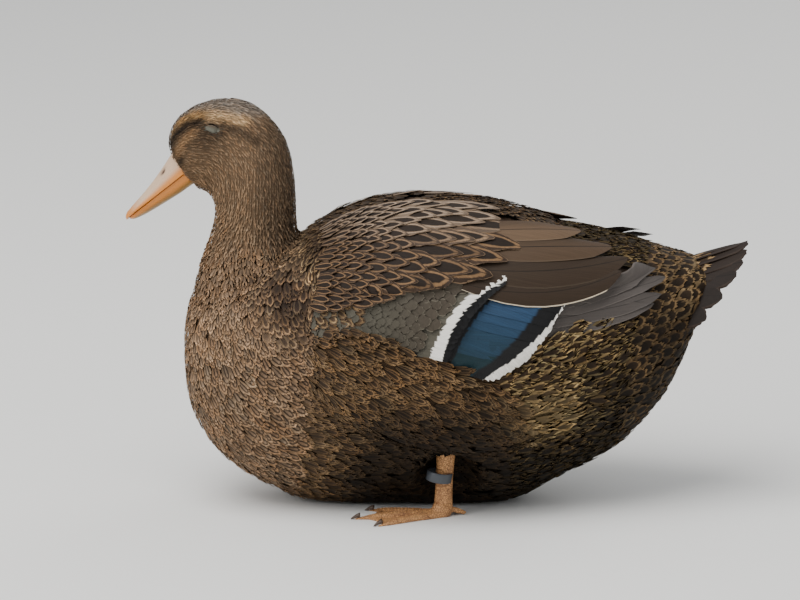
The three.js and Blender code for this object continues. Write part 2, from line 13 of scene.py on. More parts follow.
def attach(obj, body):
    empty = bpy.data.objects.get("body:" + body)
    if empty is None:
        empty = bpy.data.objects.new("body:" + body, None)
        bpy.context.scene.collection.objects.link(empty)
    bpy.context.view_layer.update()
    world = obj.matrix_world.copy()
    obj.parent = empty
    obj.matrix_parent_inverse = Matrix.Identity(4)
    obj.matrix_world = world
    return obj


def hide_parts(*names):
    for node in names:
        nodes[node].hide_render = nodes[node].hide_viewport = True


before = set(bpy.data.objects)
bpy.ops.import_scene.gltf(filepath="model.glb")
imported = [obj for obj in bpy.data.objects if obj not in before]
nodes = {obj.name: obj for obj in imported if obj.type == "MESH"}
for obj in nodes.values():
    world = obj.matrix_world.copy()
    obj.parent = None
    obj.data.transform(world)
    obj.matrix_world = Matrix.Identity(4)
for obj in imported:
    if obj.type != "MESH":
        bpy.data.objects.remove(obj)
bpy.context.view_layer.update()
scene = bpy.context.scene


# ---- Standpoint, floor and daylight ---------------------------------------------------------------
# The viewer stands at her left side, a few steps off, and looks slightly down.
# The floor is a plain pale board, and the light is that of an overcast day, soft and from above.

VIEW_DISTANCE = 3.5
VIEW_HEIGHT_ANGLE = radians(13)
VIEW_CENTRE = Vector((-0.031, 0, 0.1626))
VIEW_LENS = 197
FLOOR_HALF = 6

camera = bpy.data.objects.new("camera", bpy.data.cameras.new("camera"))
camera.data.lens = VIEW_LENS
camera.data.sensor_width = 36
camera.data.clip_start = 0.1
camera.data.clip_end = 60
camera.rotation_euler = (pi / 2 - VIEW_HEIGHT_ANGLE, 0, 0)
camera.location = VIEW_CENTRE + VIEW_DISTANCE * Vector((0, -cos(VIEW_HEIGHT_ANGLE), sin(VIEW_HEIGHT_ANGLE)))
scene.collection.objects.link(camera)
scene.camera = camera


def paint(red, green, blue):
    """A colour given as a paint chart has it, 0 to 255, as linear light."""
    return np.array([(part / 255) ** 2.2 for part in (red, green, blue)])


def new_material(name, colour, roughness, gloss=0.5):
    """A material with a plain colour, its node tree and its surface shader."""
    material = bpy.data.materials.new(name)
    material.use_nodes = True
    surface = material.node_tree.nodes["Principled BSDF"]
    surface.inputs["Base Color"].default_value = (*colour, 1)
    surface.inputs["Roughness"].default_value = roughness
    surface.inputs["Specular IOR Level"].default_value = gloss
    return material, material.node_tree, surface


def add_node(tree, kind, inputs=None, **settings):
    """A node with its settings, and its inputs linked or set."""
    node = tree.nodes.new(kind)
    for key, value in settings.items():
        setattr(node, key, value)
    for key, value in (inputs or {}).items():
        if isinstance(value, bpy.types.NodeSocket):
            tree.links.new(value, node.inputs[key])
        else:
            node.inputs[key].default_value = value
    return node


def noise(tree, scale, detail=2.0, **more):
    """Cloudy grain of a certain fineness, from 0 to 1."""
    return add_node(tree, "ShaderNodeTexNoise", {"Scale": scale, "Detail": detail, **more}).outputs["Fac"]


def add_relief(tree, surface, height, strength, distance):
    bump = add_node(tree, "ShaderNodeBump", {"Height": height, "Strength": strength, "Distance": distance})
    tree.links.new(bump.outputs["Normal"], surface.inputs["Normal"])


def floor_board():
    corners = [(x * FLOOR_HALF, y * FLOOR_HALF, 0) for x, y in ((-1, -1), (1, -1), (1, 1), (-1, 1))]
    mesh = bpy.data.meshes.new("floor")
    mesh.from_pydata(corners, [], [(0, 1, 2, 3)])
    floor = bpy.data.objects.new("floor", mesh)
    scene.collection.objects.link(floor)
    material, tree, surface = new_material("pale_board", paint(240, 238, 233), 0.85)
    add_relief(tree, surface, noise(tree, 40.0, 6.0), 0.05, 0.002)
    mesh.materials.append(material)


def soft_lamp(name, place, size, power):
    """A square lamp that points at the bird."""
    lamp = bpy.data.objects.new(name, bpy.data.lights.new(name, "AREA"))
    lamp.data.size = size
    lamp.data.energy = power
    lamp.location = place
    lamp.rotation_euler = (VIEW_CENTRE - Vector(place)).to_track_quat("-Z", "Y").to_euler()
    scene.collection.objects.link(lamp)


floor_board()
soft_lamp("sky_lamp", (-0.9, -1.0, 2.9), 2.4, 100)
soft_lamp("side_lamp", (-2.7, -1.9, 1.7), 1.6, 32)
soft_lamp("back_lamp", (2.0, 2.4, 1.8), 1.8, 22)
sky = bpy.data.worlds.new("overcast")
sky.use_nodes = True
sky.node_tree.nodes["Background"].inputs["Color"].default_value = (0.93, 0.96, 1.0, 1)
sky.node_tree.nodes["Background"].inputs["Strength"].default_value = 0.62
scene.world = sky


# ---- Skin -----------------------------------------------------------------------------------------
# One skin over head, neck, body and wings, thin, and painted darker than the coat as the shade between
# the feathers. It lies inside the body's solids by the depth of the coat, and closes over each eye in two
# lids.

FLESH = ["head", "neck", "breast", "trunk", "rump", "mantle", "flank_left", "flank_right",
         "wing_left", "wing_right", "speculum_left", "speculum_right"]
SKIN_CELL = 0.0025
SOLID_GROWTH = 0.00035  # closes the thin cuts between the solids
HEAD_TURN = radians(20)
HEAD_PIVOT = np.array([-0.150, 0, 0])
TWIST_LOW_Z = 0.195
TWIST_HIGH_Z = 0.240
EYE_RADIUS = 0.0062
EYE_PLACE = np.array([-0.1745, -0.0152, 0.304])  # left eye, head facing straight ahead
LID_RADIUS = 0.0071
COAT_HEAD = 0.0012
COAT_NECK = 0.0022
COAT_BODY = 0.0042
SIDES = (("left", 1), ("right", -1))


def smooth_step(value, low, high):
    share = np.clip((value - low) / (high - low), 0, 1)
    return share * share * (3 - 2 * share)


def swung(vectors, angle):
    """Vectors turned about an upright line."""
    x, y = vectors[..., 0], vectors[..., 1]
    return np.stack([x * np.cos(angle) - y * np.sin(angle), x * np.sin(angle) + y * np.cos(angle),
                     vectors[..., 2]], -1)


def turned(points, back=False):
    """Points of the straight bird, with head and neck turned to her right, or back again."""
    share = smooth_step(points[..., 2], TWIST_LOW_Z, TWIST_HIGH_Z)
    return swung(points - HEAD_PIVOT, HEAD_TURN * share * (1 if back else -1)) + HEAD_PIVOT


def mesh_of(made, name):
    """What has been made in bmesh, as a mesh with smooth faces."""
    mesh = bpy.data.meshes.new(name)
    made.to_mesh(mesh)
    made.free()
    mesh.shade_smooth()
    return mesh


def new_piece(name, mesh, material=None):
    piece = bpy.data.objects.new(name, mesh)
    scene.collection.objects.link(piece)
    if material:
        mesh.materials.append(material)
    return piece


def apply_modifiers(piece):
    """Turns what the piece's modifiers make into its own mesh."""
    graph = bpy.context.evaluated_depsgraph_get()
    mesh = bpy.data.meshes.new_from_object(piece.evaluated_get(graph))
    piece.modifiers.clear()
    piece.data = mesh


def closed_over(name, solids, growth, cell):
    """The named solids, each grown a little, closed over into one surface of small even cells."""
    whole = bmesh.new()
    for solid in solids:
        one = bmesh.new()
        one.from_mesh(nodes[solid].data)
        bmesh.ops.remove_doubles(one, verts=one.verts, dist=1e-5)
        one.normal_update()
        for corner in one.verts:
            corner.co += corner.normal * growth
        mesh = mesh_of(one, solid)
        whole.from_mesh(mesh)
        bpy.data.meshes.remove(mesh)
    piece = new_piece(name, mesh_of(whole, name))
    remesh = piece.modifiers.new("cells", "REMESH")
    remesh.mode = "VOXEL"
    remesh.voxel_size = cell
    smooth = piece.modifiers.new("smooth", "SMOOTH")
    smooth.iterations = 5
    apply_modifiers(piece)
    return piece


def finer_round_eyes(mesh):
    """Splits the cells near the eyes twice, so that the lids have enough corners."""
    fine = bmesh.new()
    fine.from_mesh(mesh)
    eyes = [Vector(turned(EYE_PLACE * [1, hand, 1])) for _, hand in SIDES]
    for reach in (0.015, 0.012):
        edges = [edge for edge in fine.edges
                 if min((edge.verts[0].co - eye).length for eye in eyes) < reach]
        bmesh.ops.subdivide_edges(fine, edges=edges, cuts=1, use_grid_fill=True)
        bmesh.ops.triangulate(fine, faces=[face for face in fine.faces if len(face.verts) > 4])
    fine.normal_update()
    fine.to_mesh(mesh)
    fine.free()


def corners_of(mesh):
    """Places and normals of a mesh's corners."""
    places = np.zeros(len(mesh.vertices) * 3)
    normals = np.zeros(len(mesh.vertices) * 3)
    mesh.vertices.foreach_get("co", places)
    mesh.vertex_normals.foreach_get("vector", normals)
    return places.reshape(-1, 3), normals.reshape(-1, 3)


def nearest_solids(points):
    """For each point, the number in FLESH of the solid that it lies on."""
    corners, faces, owner = [], [], []
    for number, name in enumerate(FLESH):
        mesh = nodes[name].data
        first = len(corners)
        corners += [corner.co.copy() for corner in mesh.vertices]
        faces += [[first + corner for corner in face.vertices] for face in mesh.polygons]
        owner += [number] * len(mesh.polygons)
    tree = BVHTree.FromPolygons(corners, faces)
    return np.array([owner[tree.find_nearest(Vector(point))[2]] for point in points])


skin = closed_over("skin", FLESH, SOLID_GROWTH, SKIN_CELL)
finer_round_eyes(skin.data)
outer, skin_normal = corners_of(skin.data)
place_solid = nearest_solids(outer)


def on_solids(*names):
    """Which skin corners belong to the named solids."""
    return np.isin(place_solid, [FLESH.index(name) for name in names])


# The line along which the feathers lie: from the bill over head and neck, down the breast and back
# along the body to the tail, as x and z.
LIE_LINE = np.array([
    [-0.235, 0.262], [-0.205, 0.285], [-0.180, 0.297], [-0.158, 0.290], [-0.150, 0.262], [-0.152, 0.235],
    [-0.155, 0.205], [-0.150, 0.175], [-0.135, 0.140], [-0.105, 0.118], [-0.060, 0.112], [0.000, 0.115],
    [0.070, 0.122], [0.130, 0.140], [0.190, 0.165], [0.250, 0.195]])
LIE_REACH = 0.022


def unit(vectors):
    return vectors / np.maximum(np.linalg.norm(vectors, axis=-1, keepdims=True), 1e-9)


def lie_of_feathers(points, normals):
    """The way the feathers point at each place: along the line, flat on the skin."""
    straight = turned(points, back=True)
    steps = np.linspace(0, len(LIE_LINE) - 1, 90)
    x, z = [np.interp(steps, range(len(LIE_LINE)), LIE_LINE[:, axis]) for axis in (0, 1)]
    line = np.stack([x, np.zeros_like(x), z], -1)
    distances = [((straight - place) ** 2).sum(1) for place in line]
    least = np.min(distances, 0)
    way = np.zeros_like(points)
    for distance, ahead in zip(distances, unit(np.gradient(line, axis=0))):
        way += np.exp(-(distance - least) / (2 * LIE_REACH ** 2))[:, None] * ahead
    way = swung(unit(way), -HEAD_TURN * smooth_step(points[:, 2], TWIST_LOW_Z, TWIST_HIGH_Z))
    way[on_solids("flank_left", "flank_right")] = [0.9, 0, -0.42]
    return unit(way - (way * normals).sum(1)[:, None] * normals)


def coat_depth(points):
    """How deep the feathers are over the skin."""
    before = smooth_step(-points[:, 0], 0.09, 0.11)
    face = smooth_step(points[:, 2], 0.215, 0.262) * before
    throat = smooth_step(points[:, 2], 0.17, 0.235) * before
    depth = COAT_BODY + (COAT_NECK - COAT_BODY) * throat
    depth += (COAT_HEAD - depth) * face
    low = smooth_step(0.012 - points[:, 2], 0, 0.009)
    return depth * (1 - 0.75 * low)


def close_lids(points):
    """Skin raised over each eyeball, with the slit between the lids just under the brow."""
    for _, hand in SIDES:
        centre = turned(EYE_PLACE * [1, hand, 1])
        distance = np.linalg.norm(points - centre, axis=1)
        near = distance < 0.016
        spot = points[near] - centre
        reach = distance[near]
        ahead = np.array([-cos(HEAD_TURN), sin(HEAD_TURN), 0])
        beside = np.array([-sin(HEAD_TURN), -cos(HEAD_TURN), 0]) * hand
        height = np.arctan2(spot[:, 2], spot @ beside)
        along = np.arctan2(spot @ ahead, spot @ beside)
        facing = (spot @ beside) > 0
        opening = np.abs(along) < radians(58)
        slit = radians(33) - radians(20) * (along / radians(58)) ** 2
        off = np.abs(height - slit)
        fold = 0.00012 * np.sin((height - slit) * 26) * (height < slit)
        lid = LID_RADIUS + fold + 0.00035 * np.exp(-((off - radians(9)) / radians(5)) ** 2)
        raised = np.maximum(reach, lid - 0.0008) + 0.0004 * np.exp(-((reach - lid) / 0.0012) ** 2)
        raised = np.where((reach < lid) & facing, lid, raised)
        slot = (off < radians(5.5)) & opening & facing & (reach < 0.009)
        raised = np.where(slot, EYE_RADIUS - 0.0007, raised)
        points[near] = centre + spot * (raised / np.maximum(reach, 1e-6))[:, None]
    return points


lie = lie_of_feathers(outer, skin_normal)
inner = close_lids(outer - skin_normal * coat_depth(outer)[:, None])
skin.data.vertices.foreach_set("co", inner.ravel())
skin.data.update()

corner_tree = KDTree(len(inner))
for number, corner in enumerate(inner):
    corner_tree.insert(corner, number)
corner_tree.balance()


def near_line(points, line, reach):
    """1 on a line drawn on the side of the head, as x and z, fading out at a distance from it."""
    flat = points[:, [0, 2]]
    least = np.full(len(points), 1e9)
    for start, end in zip(np.array(line[:-1]), np.array(line[1:])):
        share = np.clip(((flat - start) @ (end - start)) / ((end - start) @ (end - start)), 0, 1)
        least = np.minimum(least, np.linalg.norm(flat - start - share[:, None] * (end - start), axis=1))
    return np.exp(-(least / reach) ** 2)


def patch(x, z, middle, size):
    """1 at the middle of a patch on her side, fading out over its size."""
    return np.exp(-((x - middle[0]) / size[0]) ** 2 - ((z - middle[1]) / size[1]) ** 2)


HEAD_GROUND = paint(130, 105, 80)
CROWN = paint(138, 124, 110)
NAPE = paint(100, 82, 64)
BROW_BUFF = paint(182, 142, 94)
BROW_PALE = paint(206, 184, 152)
FACE_BROWN = paint(80, 64, 49)
STRIPE_DARK = paint(46, 37, 29)
PATCH_BUFF = paint(158, 122, 86)
THROAT = paint(140, 112, 84)
LID_GREY = paint(106, 105, 94)
BREAST = paint(156, 127, 101)
SHOULDER = paint(70, 54, 45)
SIDE_BROWN = paint(104, 82, 61)
UNDER_SIDE_SHADE = paint(66, 53, 41)
BELLY_SHADE = paint(50, 40, 30)
VENT_BUFF = paint(150, 128, 92)
BACK_BROWN = paint(74, 58, 46)
RUMP_BROWN = paint(84, 68, 52)
BROW = [(-0.221, 0.290), (-0.2105, 0.303), (-0.197, 0.3105), (-0.180, 0.3135), (-0.165, 0.3135),
        (-0.150, 0.311)]
LID = [(-0.1800, 0.3035), (-0.1745, 0.3025), (-0.1690, 0.3015)]
# Markings of the face on the straight head: colour, line of x and z, strength and reach.
FACE_LINES = [
    (BROW_BUFF, BROW, 1.0, 0.0036),
    (BROW_PALE, BROW[3:], 0.35, 0.0030),
    (STRIPE_DARK, [(-0.2175, 0.282), (-0.2085, 0.295), (-0.198, 0.304), (-0.187, 0.308)], 0.95, 0.0040),
    (STRIPE_DARK, [(-0.166, 0.307), (-0.150, 0.303), (-0.138, 0.296)], 0.6, 0.0040),
    (PATCH_BUFF, [(-0.2065, 0.279), (-0.2015, 0.290), (-0.192, 0.299)], 0.75, 0.0036),
    (STRIPE_DARK, [(-0.2045, 0.2735), (-0.2035, 0.277)], 0.8, 0.0034),
    (STRIPE_DARK, LID, 0.7, 0.0050)]


def blend(colours, other, share):
    return colours + (other - colours) * np.clip(share, 0, 1)[:, None]


def ground_colour(points):
    """The plumage's main colour at each place on the bird: marks laid over the breast's colour, and painted
    shade that darkens the lower breast, the lower sides, the belly and the low rear under the tail.
    """
    straight = turned(points, back=True)
    x, y, z = straight.T
    neck = smooth_step(z, 0.185, 0.225) * smooth_step(-x, 0.09, 0.11)
    top = smooth_step(z, 0.3115, 0.317) * smooth_step(x, -0.225, -0.2)
    middle = smooth_step(0.0135 - np.abs(y), 0, 0.005) * smooth_step(z, 0.278, 0.292)
    middle = middle * smooth_step(-x, 0.136, 0.156)
    face = smooth_step(np.abs(y), 0.005, 0.009) * neck
    marks = [
        # Painted shade: the lower breast, the lower sides, the belly and the low rear under the tail are
        # darkened.
        (BREAST * 0.72, smooth_step(x, -0.185, -0.120) * smooth_step(0.16 - z, 0, 0.05)),
        (SIDE_BROWN, smooth_step(x, -0.14, -0.05)),
        # The dark shoulder patch is partly the feathers' own colour and partly painted shade in the hollow
        # before the wing.
        (SHOULDER, 0.95 * patch(x + 0.25 * (z - 0.18), z, (-0.118, 0.180), (0.028, 0.036))),
        (UNDER_SIDE_SHADE, smooth_step(0.118 - z, 0, 0.035) * smooth_step(x, -0.11, -0.04)),
        (BELLY_SHADE, smooth_step(0.074 - z, 0, 0.040) * smooth_step(x, -0.15, -0.03)),
        (BELLY_SHADE, smooth_step(0.140 - z, 0, 0.06) * smooth_step(x, 0.06, 0.14)),
        (VENT_BUFF, 0.95 * patch(x, z, (0.078, 0.089), (0.024, 0.017))),
        (RUMP_BROWN, smooth_step(x, 0.11, 0.16) * smooth_step(z, 0.12, 0.16)),
        (BELLY_SHADE, 0.8 * smooth_step(0.172 - z, 0, 0.03) * smooth_step(x, 0.12, 0.16)),
        (BACK_BROWN, smooth_step(z, 0.19, 0.215) * smooth_step(x, -0.125, -0.10)),
        (HEAD_GROUND, neck),
        (THROAT, 0.8 * neck * smooth_step(-x, 0.160, 0.185) * smooth_step(0.285 - z, 0, 0.03)),
        (NAPE, 0.9 * neck * smooth_step(x, -0.146, -0.126)),
        (CROWN, neck * np.maximum(top, middle)),
        (FACE_BROWN, 0.75 * face * patch(x, z, (-0.185, 0.295), (0.019, 0.010)))]
    for ink, line, strength, reach in FACE_LINES:
        marks.append((ink, face * strength * near_line(straight, line, reach)))
    colours = np.tile(BREAST, (len(points), 1))
    for ink, share in marks:
        colours = blend(colours, ink, share)
    return colours


def set_colours(mesh, name, colours):
    layer = mesh.attributes.new(name, "FLOAT_COLOR", "POINT")
    layer.data.foreach_set("color", np.concatenate([colours, np.ones((len(colours), 1))], 1).ravel())


def own(tree, name, output="Color"):
    """What a mesh's own layer of values gives at each place."""
    return add_node(tree, "ShaderNodeAttribute", attribute_name=name).outputs[output]


def toned(tree, colour, tone):
    """A colour made lighter or darker."""
    return add_node(tree, "ShaderNodeVectorMath", {0: colour, 1: tone}, operation="MULTIPLY").outputs["Vector"]


def skin_material():
    """Matt skin in the coat's own colours, painted darker as the shade between the feathers, and mottled by
    its pores.
    """
    material, tree, surface = new_material("skin", BREAST, 0.8, 0.2)
    pores = noise(tree, 900.0, 3.0)
    tone = add_node(tree, "ShaderNodeMapRange", {"Value": pores, "To Min": 0.65, "To Max": 1.2})
    tree.links.new(toned(tree, own(tree, "ground"), tone.outputs["Result"]), surface.inputs["Base Color"])
    add_relief(tree, surface, pores, 0.5, 0.0004)
    return material


def ride_for(piece, slot, *replaced):
    """Fixes a piece to the bird's body, with the solids that it stands for."""
    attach(piece, "root")
    if replaced:
        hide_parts(*replaced)


skin.data.materials.append(skin_material())
skin.data.shade_smooth()
lid_share = near_line(turned(inner, back=True), LID, 0.0034) * (np.abs(inner[:, 1]) > 0.004)
# The skin takes the coat's colours at 0.7, painted shade between the feathers, and grey over the lids.
set_colours(skin.data, "ground", blend(ground_colour(outer) * 0.7, LID_GREY, lid_share))
ride_for(skin, "body_plumage", *FLESH)


# ---- Eyes -----------------------------------------------------------------------------------------
# Wet dark brown eyeballs, set in the skin, of which only a line shows between the lids. Each bulges
# a little at the pupil.

def mixed(tree, share, first, second):
    """The colour that two colours give together, by a share of the second."""
    node = tree.nodes.new("ShaderNodeMix")
    node.data_type = "RGBA"
    for place, value in ((0, share), (6, first), (7, second)):
        if isinstance(value, bpy.types.NodeSocket):
            tree.links.new(value, node.inputs[place])
        else:
            node.inputs[place].default_value = value if place == 0 else (*value, 1)
    return node.outputs[2]


def eye_ball(side, hand):
    made = bmesh.new()
    bmesh.ops.create_uvsphere(made, u_segments=40, v_segments=24, radius=EYE_RADIUS)
    for corner in made.verts:
        bulge = 0.0004 * max(0, -corner.co.y * hand / EYE_RADIUS) ** 6
        corner.co += corner.co.normalized() * bulge
    bmesh.ops.transform(made, matrix=Matrix.Rotation(-HEAD_TURN, 4, "Z"), verts=made.verts)
    bmesh.ops.translate(made, vec=Vector(turned(EYE_PLACE * [1, hand, 1])), verts=made.verts)
    ball = new_piece("ball_" + side, mesh_of(made, "ball_" + side), wet_eye)
    ride_for(ball, "eye", "eye_" + side)


wet_eye, eye_tree, eye_surface = new_material("wet_eye", paint(30, 20, 13), 0.06)
iris = mixed(eye_tree, noise(eye_tree, 700.0), paint(16, 10, 8), paint(52, 32, 18))
eye_tree.links.new(iris, eye_surface.inputs["Base Color"])
for side, hand in SIDES:
    eye_ball(side, hand)


# ---- Feathers of the body -------------------------------------------------------------------------
# Small overlapping feathers cover breast, sides, belly, rump and back. Each is a thin curved vane with
# a frayed tip, buff at the edge and dark inside it, with its root in the skin.

NEIGHBOURS = list(product((-1, 0, 1), repeat=3))
BAKE_PATCH = 0.84  # how much of its cell on the unwrapped skin a feather's patch fills


def on_skin(points, height):
    """Points moved onto the skin along its normal, at a height over it, and the corner nearest to each."""
    flat = points.reshape(-1, 3)
    near = np.array([corner_tree.find(point)[1] for point in flat])
    normal = skin_normal[near]
    off = ((flat - inner[near]) * normal).sum(1) - np.broadcast_to(height, points.shape[:-1]).ravel()
    return (flat - off[:, None] * normal).reshape(points.shape), near.reshape(points.shape[:-1])


def scattered(solids, spacing, seed, wanted=None):
    """Places on the skin of these solids, about evenly spaced, by the number of the nearest corner."""
    allowed = on_solids(*solids)
    if wanted is not None:
        allowed &= wanted(inner)
    numbers = np.flatnonzero(allowed)
    gaps = spacing(inner)
    cell = gaps[numbers].max()
    taken = {}
    chosen = []
    for number in np.random.default_rng(seed).permutation(numbers):
        place = inner[number]
        x, y, z = (place // cell).astype(int)
        others = (other for dx, dy, dz in NEIGHBOURS for other in taken.get((x + dx, y + dy, z + dz), ()))
        if not any(((inner[other] - place) ** 2).sum() < gaps[number] ** 2 for other in others):
            taken.setdefault((x, y, z), []).append(number)
            chosen.append(number)
    return np.array(chosen)


def along_lie(numbers, lengths, rows, sway):
    """Middle lines of feathers that start at skin corners and follow the lie of the coat."""
    def swayed(corners):
        turn = np.cross(skin_normal[corners], lie[corners])
        return lie[corners] * np.cos(sway)[:, None] + turn * np.sin(sway)[:, None]
    place = inner[numbers]
    heading = unit(swayed(numbers))
    lines = [place]
    for step in np.diff(rows):
        place, near = on_skin(place + heading * (step * lengths)[:, None], 0.0)
        heading = unit(heading + swayed(near))
        lines.append(place)
    return np.stack(lines, 1)


def vane_outline(lines, side, widths, shape, rng):
    """Corners of flat feathers, from root to tip and from edge to edge. Shape holds the rows from root
    to tip, the number of columns, how round or pointed the tip is, how frayed, and how deeply split."""
    rows = np.array(shape["rows"])[:, None]
    across = np.linspace(-1, 1, shape["columns"])
    one_each = (len(lines), 1, len(across))
    wide = widths[:, None, None]
    grown = np.minimum(1, 0.42 + 0.58 * np.sin(np.clip(rows / 0.55, 0, 1) * pi / 2))
    spread = wide / 2 * grown * (1 - shape.get("taper", 0.25) * rows ** 4) * across
    fray = rng.uniform(0, shape["fray"], one_each) * (rows > 0.75)
    split = shape.get("split", shape["fray"]) * rng.uniform(0.5, 1.3, one_each)
    fray = fray + split * (np.arange(len(across)) % 2) * np.clip((rows - 0.72) / 0.28, 0, 1)
    length = np.linalg.norm(np.diff(lines, axis=1), axis=2).sum(1)[:, None, None]
    behind = (shape["tip"] * rows ** 3 * np.abs(across) ** shape["round"] + fray * rows) * length
    apart = shape.get("ragged", 0) * rng.uniform(-1, 1, one_each) * rows ** 6
    spread = spread + apart * wide * (np.abs(across) < 0.99)
    heading = unit(np.gradient(lines, axis=1))
    points = lines[:, :, None] + side[:, :, None] * spread[..., None] - heading[:, :, None] * behind[..., None]
    return points, across


def vane_grid(lines, widths, shape, rng, over=0.0, hand=1):
    """Corners of feathers laid on the skin. Shape also holds the height over the skin at root and tip,
    as shares of the coat's depth, and how far the lower edge of a flight feather is lifted. Over is how
    much higher each lies towards its tip, and hand is -1 where the feathers mirror those of the left."""
    rows = np.array(shape["rows"])[:, None]
    _, near = on_skin(lines, 0.0)
    side = unit(np.cross(skin_normal[near], unit(np.gradient(lines, axis=1)))) * hand
    points, across = vane_outline(lines, side, widths, shape, rng)
    low, high = shape["height"]
    wide = widths[:, None, None]
    lift = shape.get("lift", 0) * rng.uniform(0, 1, (len(lines), 1, len(across))) * rows ** 3
    level = rng.uniform(-0.06, 0.06, (len(lines), 1, 1))
    height = low + (high - low) * rows ** shape.get("rise", 0.9) + level + lift
    height = height * coat_depth(lines[:, len(rows) // 2])[:, None, None]
    height = height - shape["camber"] * wide * across ** 2 * rows - shape.get("tilt", 0) * wide * across
    height = height + np.broadcast_to(over, len(lines))[:, None, None] * rows
    return on_skin(points, np.maximum(height, 0.0002))[0]


def bake_places(middles):
    """For each feather, the lower corner and size of its patch on the unwrapped skin: round the body
    in one direction and along it in the other, in rows so that no two patches overlap."""
    x, y, z = turned(middles, back=True).T
    head = smooth_step(z, 0.19, 0.24) * (x < -0.1)
    along = x - 2.2 * np.maximum(0, z - 0.19) * (x < -0.1)
    round_angle = np.arctan2(y, z - 0.12 - 0.16 * head)
    columns = int(np.ceil(np.sqrt(len(middles))))
    order = np.argsort(along)
    cells = np.empty((len(middles), 2))
    for column in range(columns):
        members = order[column * columns:(column + 1) * columns]
        members = members[np.argsort(round_angle[members])]
        cells[members, 0] = column
        cells[members, 1] = np.arange(len(members))
    return cells / columns, BAKE_PATCH / columns


def feather_mesh(name, grid, colours, material, hand=1, soft=0.0):
    """One mesh of all the feathers in a grid of corners, with the place on the vane in its first map,
    the unwrapped place in its second, and each feather's colours. Soft is how far the light falls on
    them as on the skin below, which is what many thin frayed edges do."""
    count, rows, columns = grid.shape[:3]
    corners = grid.reshape(-1, 3)
    first = np.arange(rows * columns).reshape(rows, columns)
    quad = np.stack([first[:-1, :-1], first[:-1, 1:], first[1:, 1:], first[1:, :-1]], -1).reshape(-1, 4)
    faces = (quad[None] + (np.arange(count) * rows * columns)[:, None, None]).reshape(-1, 4)[:, ::-hand]
    mesh = bpy.data.meshes.new(name)
    mesh.vertices.add(len(corners))
    mesh.vertices.foreach_set("co", corners.ravel())
    mesh.loops.add(faces.size)
    mesh.loops.foreach_set("vertex_index", faces.ravel())
    mesh.polygons.add(len(faces))
    mesh.polygons.foreach_set("loop_start", np.arange(0, faces.size, 4))
    mesh.update(calc_edges=True)
    across, along = np.meshgrid(np.linspace(0, 1, columns), np.linspace(0, 1, rows))
    vane = np.tile(np.stack([across.ravel(), along.ravel()], -1), (count, 1))
    low, size = bake_places(grid[:, rows // 2, columns // 2])
    for map_name, values in (("vane", vane), ("OFBake", np.repeat(low, rows * columns, 0) + size * vane)):
        layer = mesh.uv_layers.new(name=map_name)
        layer.data.foreach_set("uv", values[faces.ravel()].ravel())
    for attribute, per_feather in colours.items():
        set_colours(mesh, attribute, np.repeat(per_feather, rows * columns, 0))
    mesh.shade_smooth()
    if soft:
        under = skin_normal[on_skin(corners, 0.0)[1]]
        mesh.normals_split_custom_set_from_vertices(unit(corners_of(mesh)[1] * (1 - soft) + under * soft))
    return new_piece(name, mesh, material)


def reckon(tree, operation, *values):
    """A sum, product or the like of numbers at a place on the surface."""
    return add_node(tree, "ShaderNodeMath", dict(enumerate(values)), operation=operation).outputs[0]


def times(tree, first, second):
    return reckon(tree, "MULTIPLY", first, second)


def axis_of(tree, vector, axis):
    return add_node(tree, "ShaderNodeSeparateXYZ", {0: vector}).outputs[axis]


def stepped(tree, value, low, high, first=0.0, second=1.0):
    """Goes smoothly from a first to a second value while value goes from low to high."""
    node = add_node(tree, "ShaderNodeMapRange", {
        "Value": value, "From Min": low, "From Max": high, "To Min": first, "To Max": second},
        interpolation_type="SMOOTHSTEP")
    return node.outputs["Result"]


def within(tree, value, low, high, soft, strength=1.0):
    """A strength where value lies between low and high, fading to 0 outside."""
    return times(tree, stepped(tree, value, low - soft, low + soft, 0.0, strength),
                 stepped(tree, value, high - soft, high + soft, 1.0, 0.0))


def striped(tree, colour, value, low, high, soft, stripe, strength=1.0):
    """A stripe laid over a colour where value lies between low and high."""
    return mixed(tree, within(tree, value, low, high, soft, strength), colour, stripe)


def wandering(tree, value, streaks, amount):
    """A place on the vane, moved a little from barb to barb, so that marks get ragged edges."""
    return reckon(tree, "ADD", value, reckon(tree, "MULTIPLY_ADD", streaks, amount, -amount / 2))


def vane_places(tree, fineness):
    """For each place on a feather: how far off the shaft it is (0 to 1), how far along, how far in from
    the edge, and the fine streaks that run from the shaft outwards and tipwards, as barbs do."""
    place = add_node(tree, "ShaderNodeUVMap", uv_map="vane").outputs["UV"]
    across = axis_of(tree, place, "X")
    along = axis_of(tree, place, "Y")
    off = reckon(tree, "ABSOLUTE", reckon(tree, "MULTIPLY_ADD", across, 2.0, -1.0))
    tipward = add_node(tree, "ShaderNodeMapRange", {"Value": along, "From Min": 0.4, "From Max": 1.0})
    outward = reckon(tree, "ADD", reckon(tree, "POWER", off, 2.0),
                     reckon(tree, "POWER", tipward.outputs["Result"], 2.0))
    inward = reckon(tree, "SUBTRACT", 1.0, reckon(tree, "POWER", outward, 0.5))
    slant = reckon(tree, "MULTIPLY_ADD", off, -0.45, along)
    apart = times(tree, axis_of(tree, own(tree, "grain", "Vector"), "X"), 91.0)
    barb = add_node(tree, "ShaderNodeCombineXYZ", {"X": times(tree, slant, fineness), "Y": off, "Z": apart})
    streaks = noise(tree, 1.0, Vector=barb.outputs[0])
    return SimpleNamespace(across=across, along=along, off=off, inward=inward, streaks=streaks)


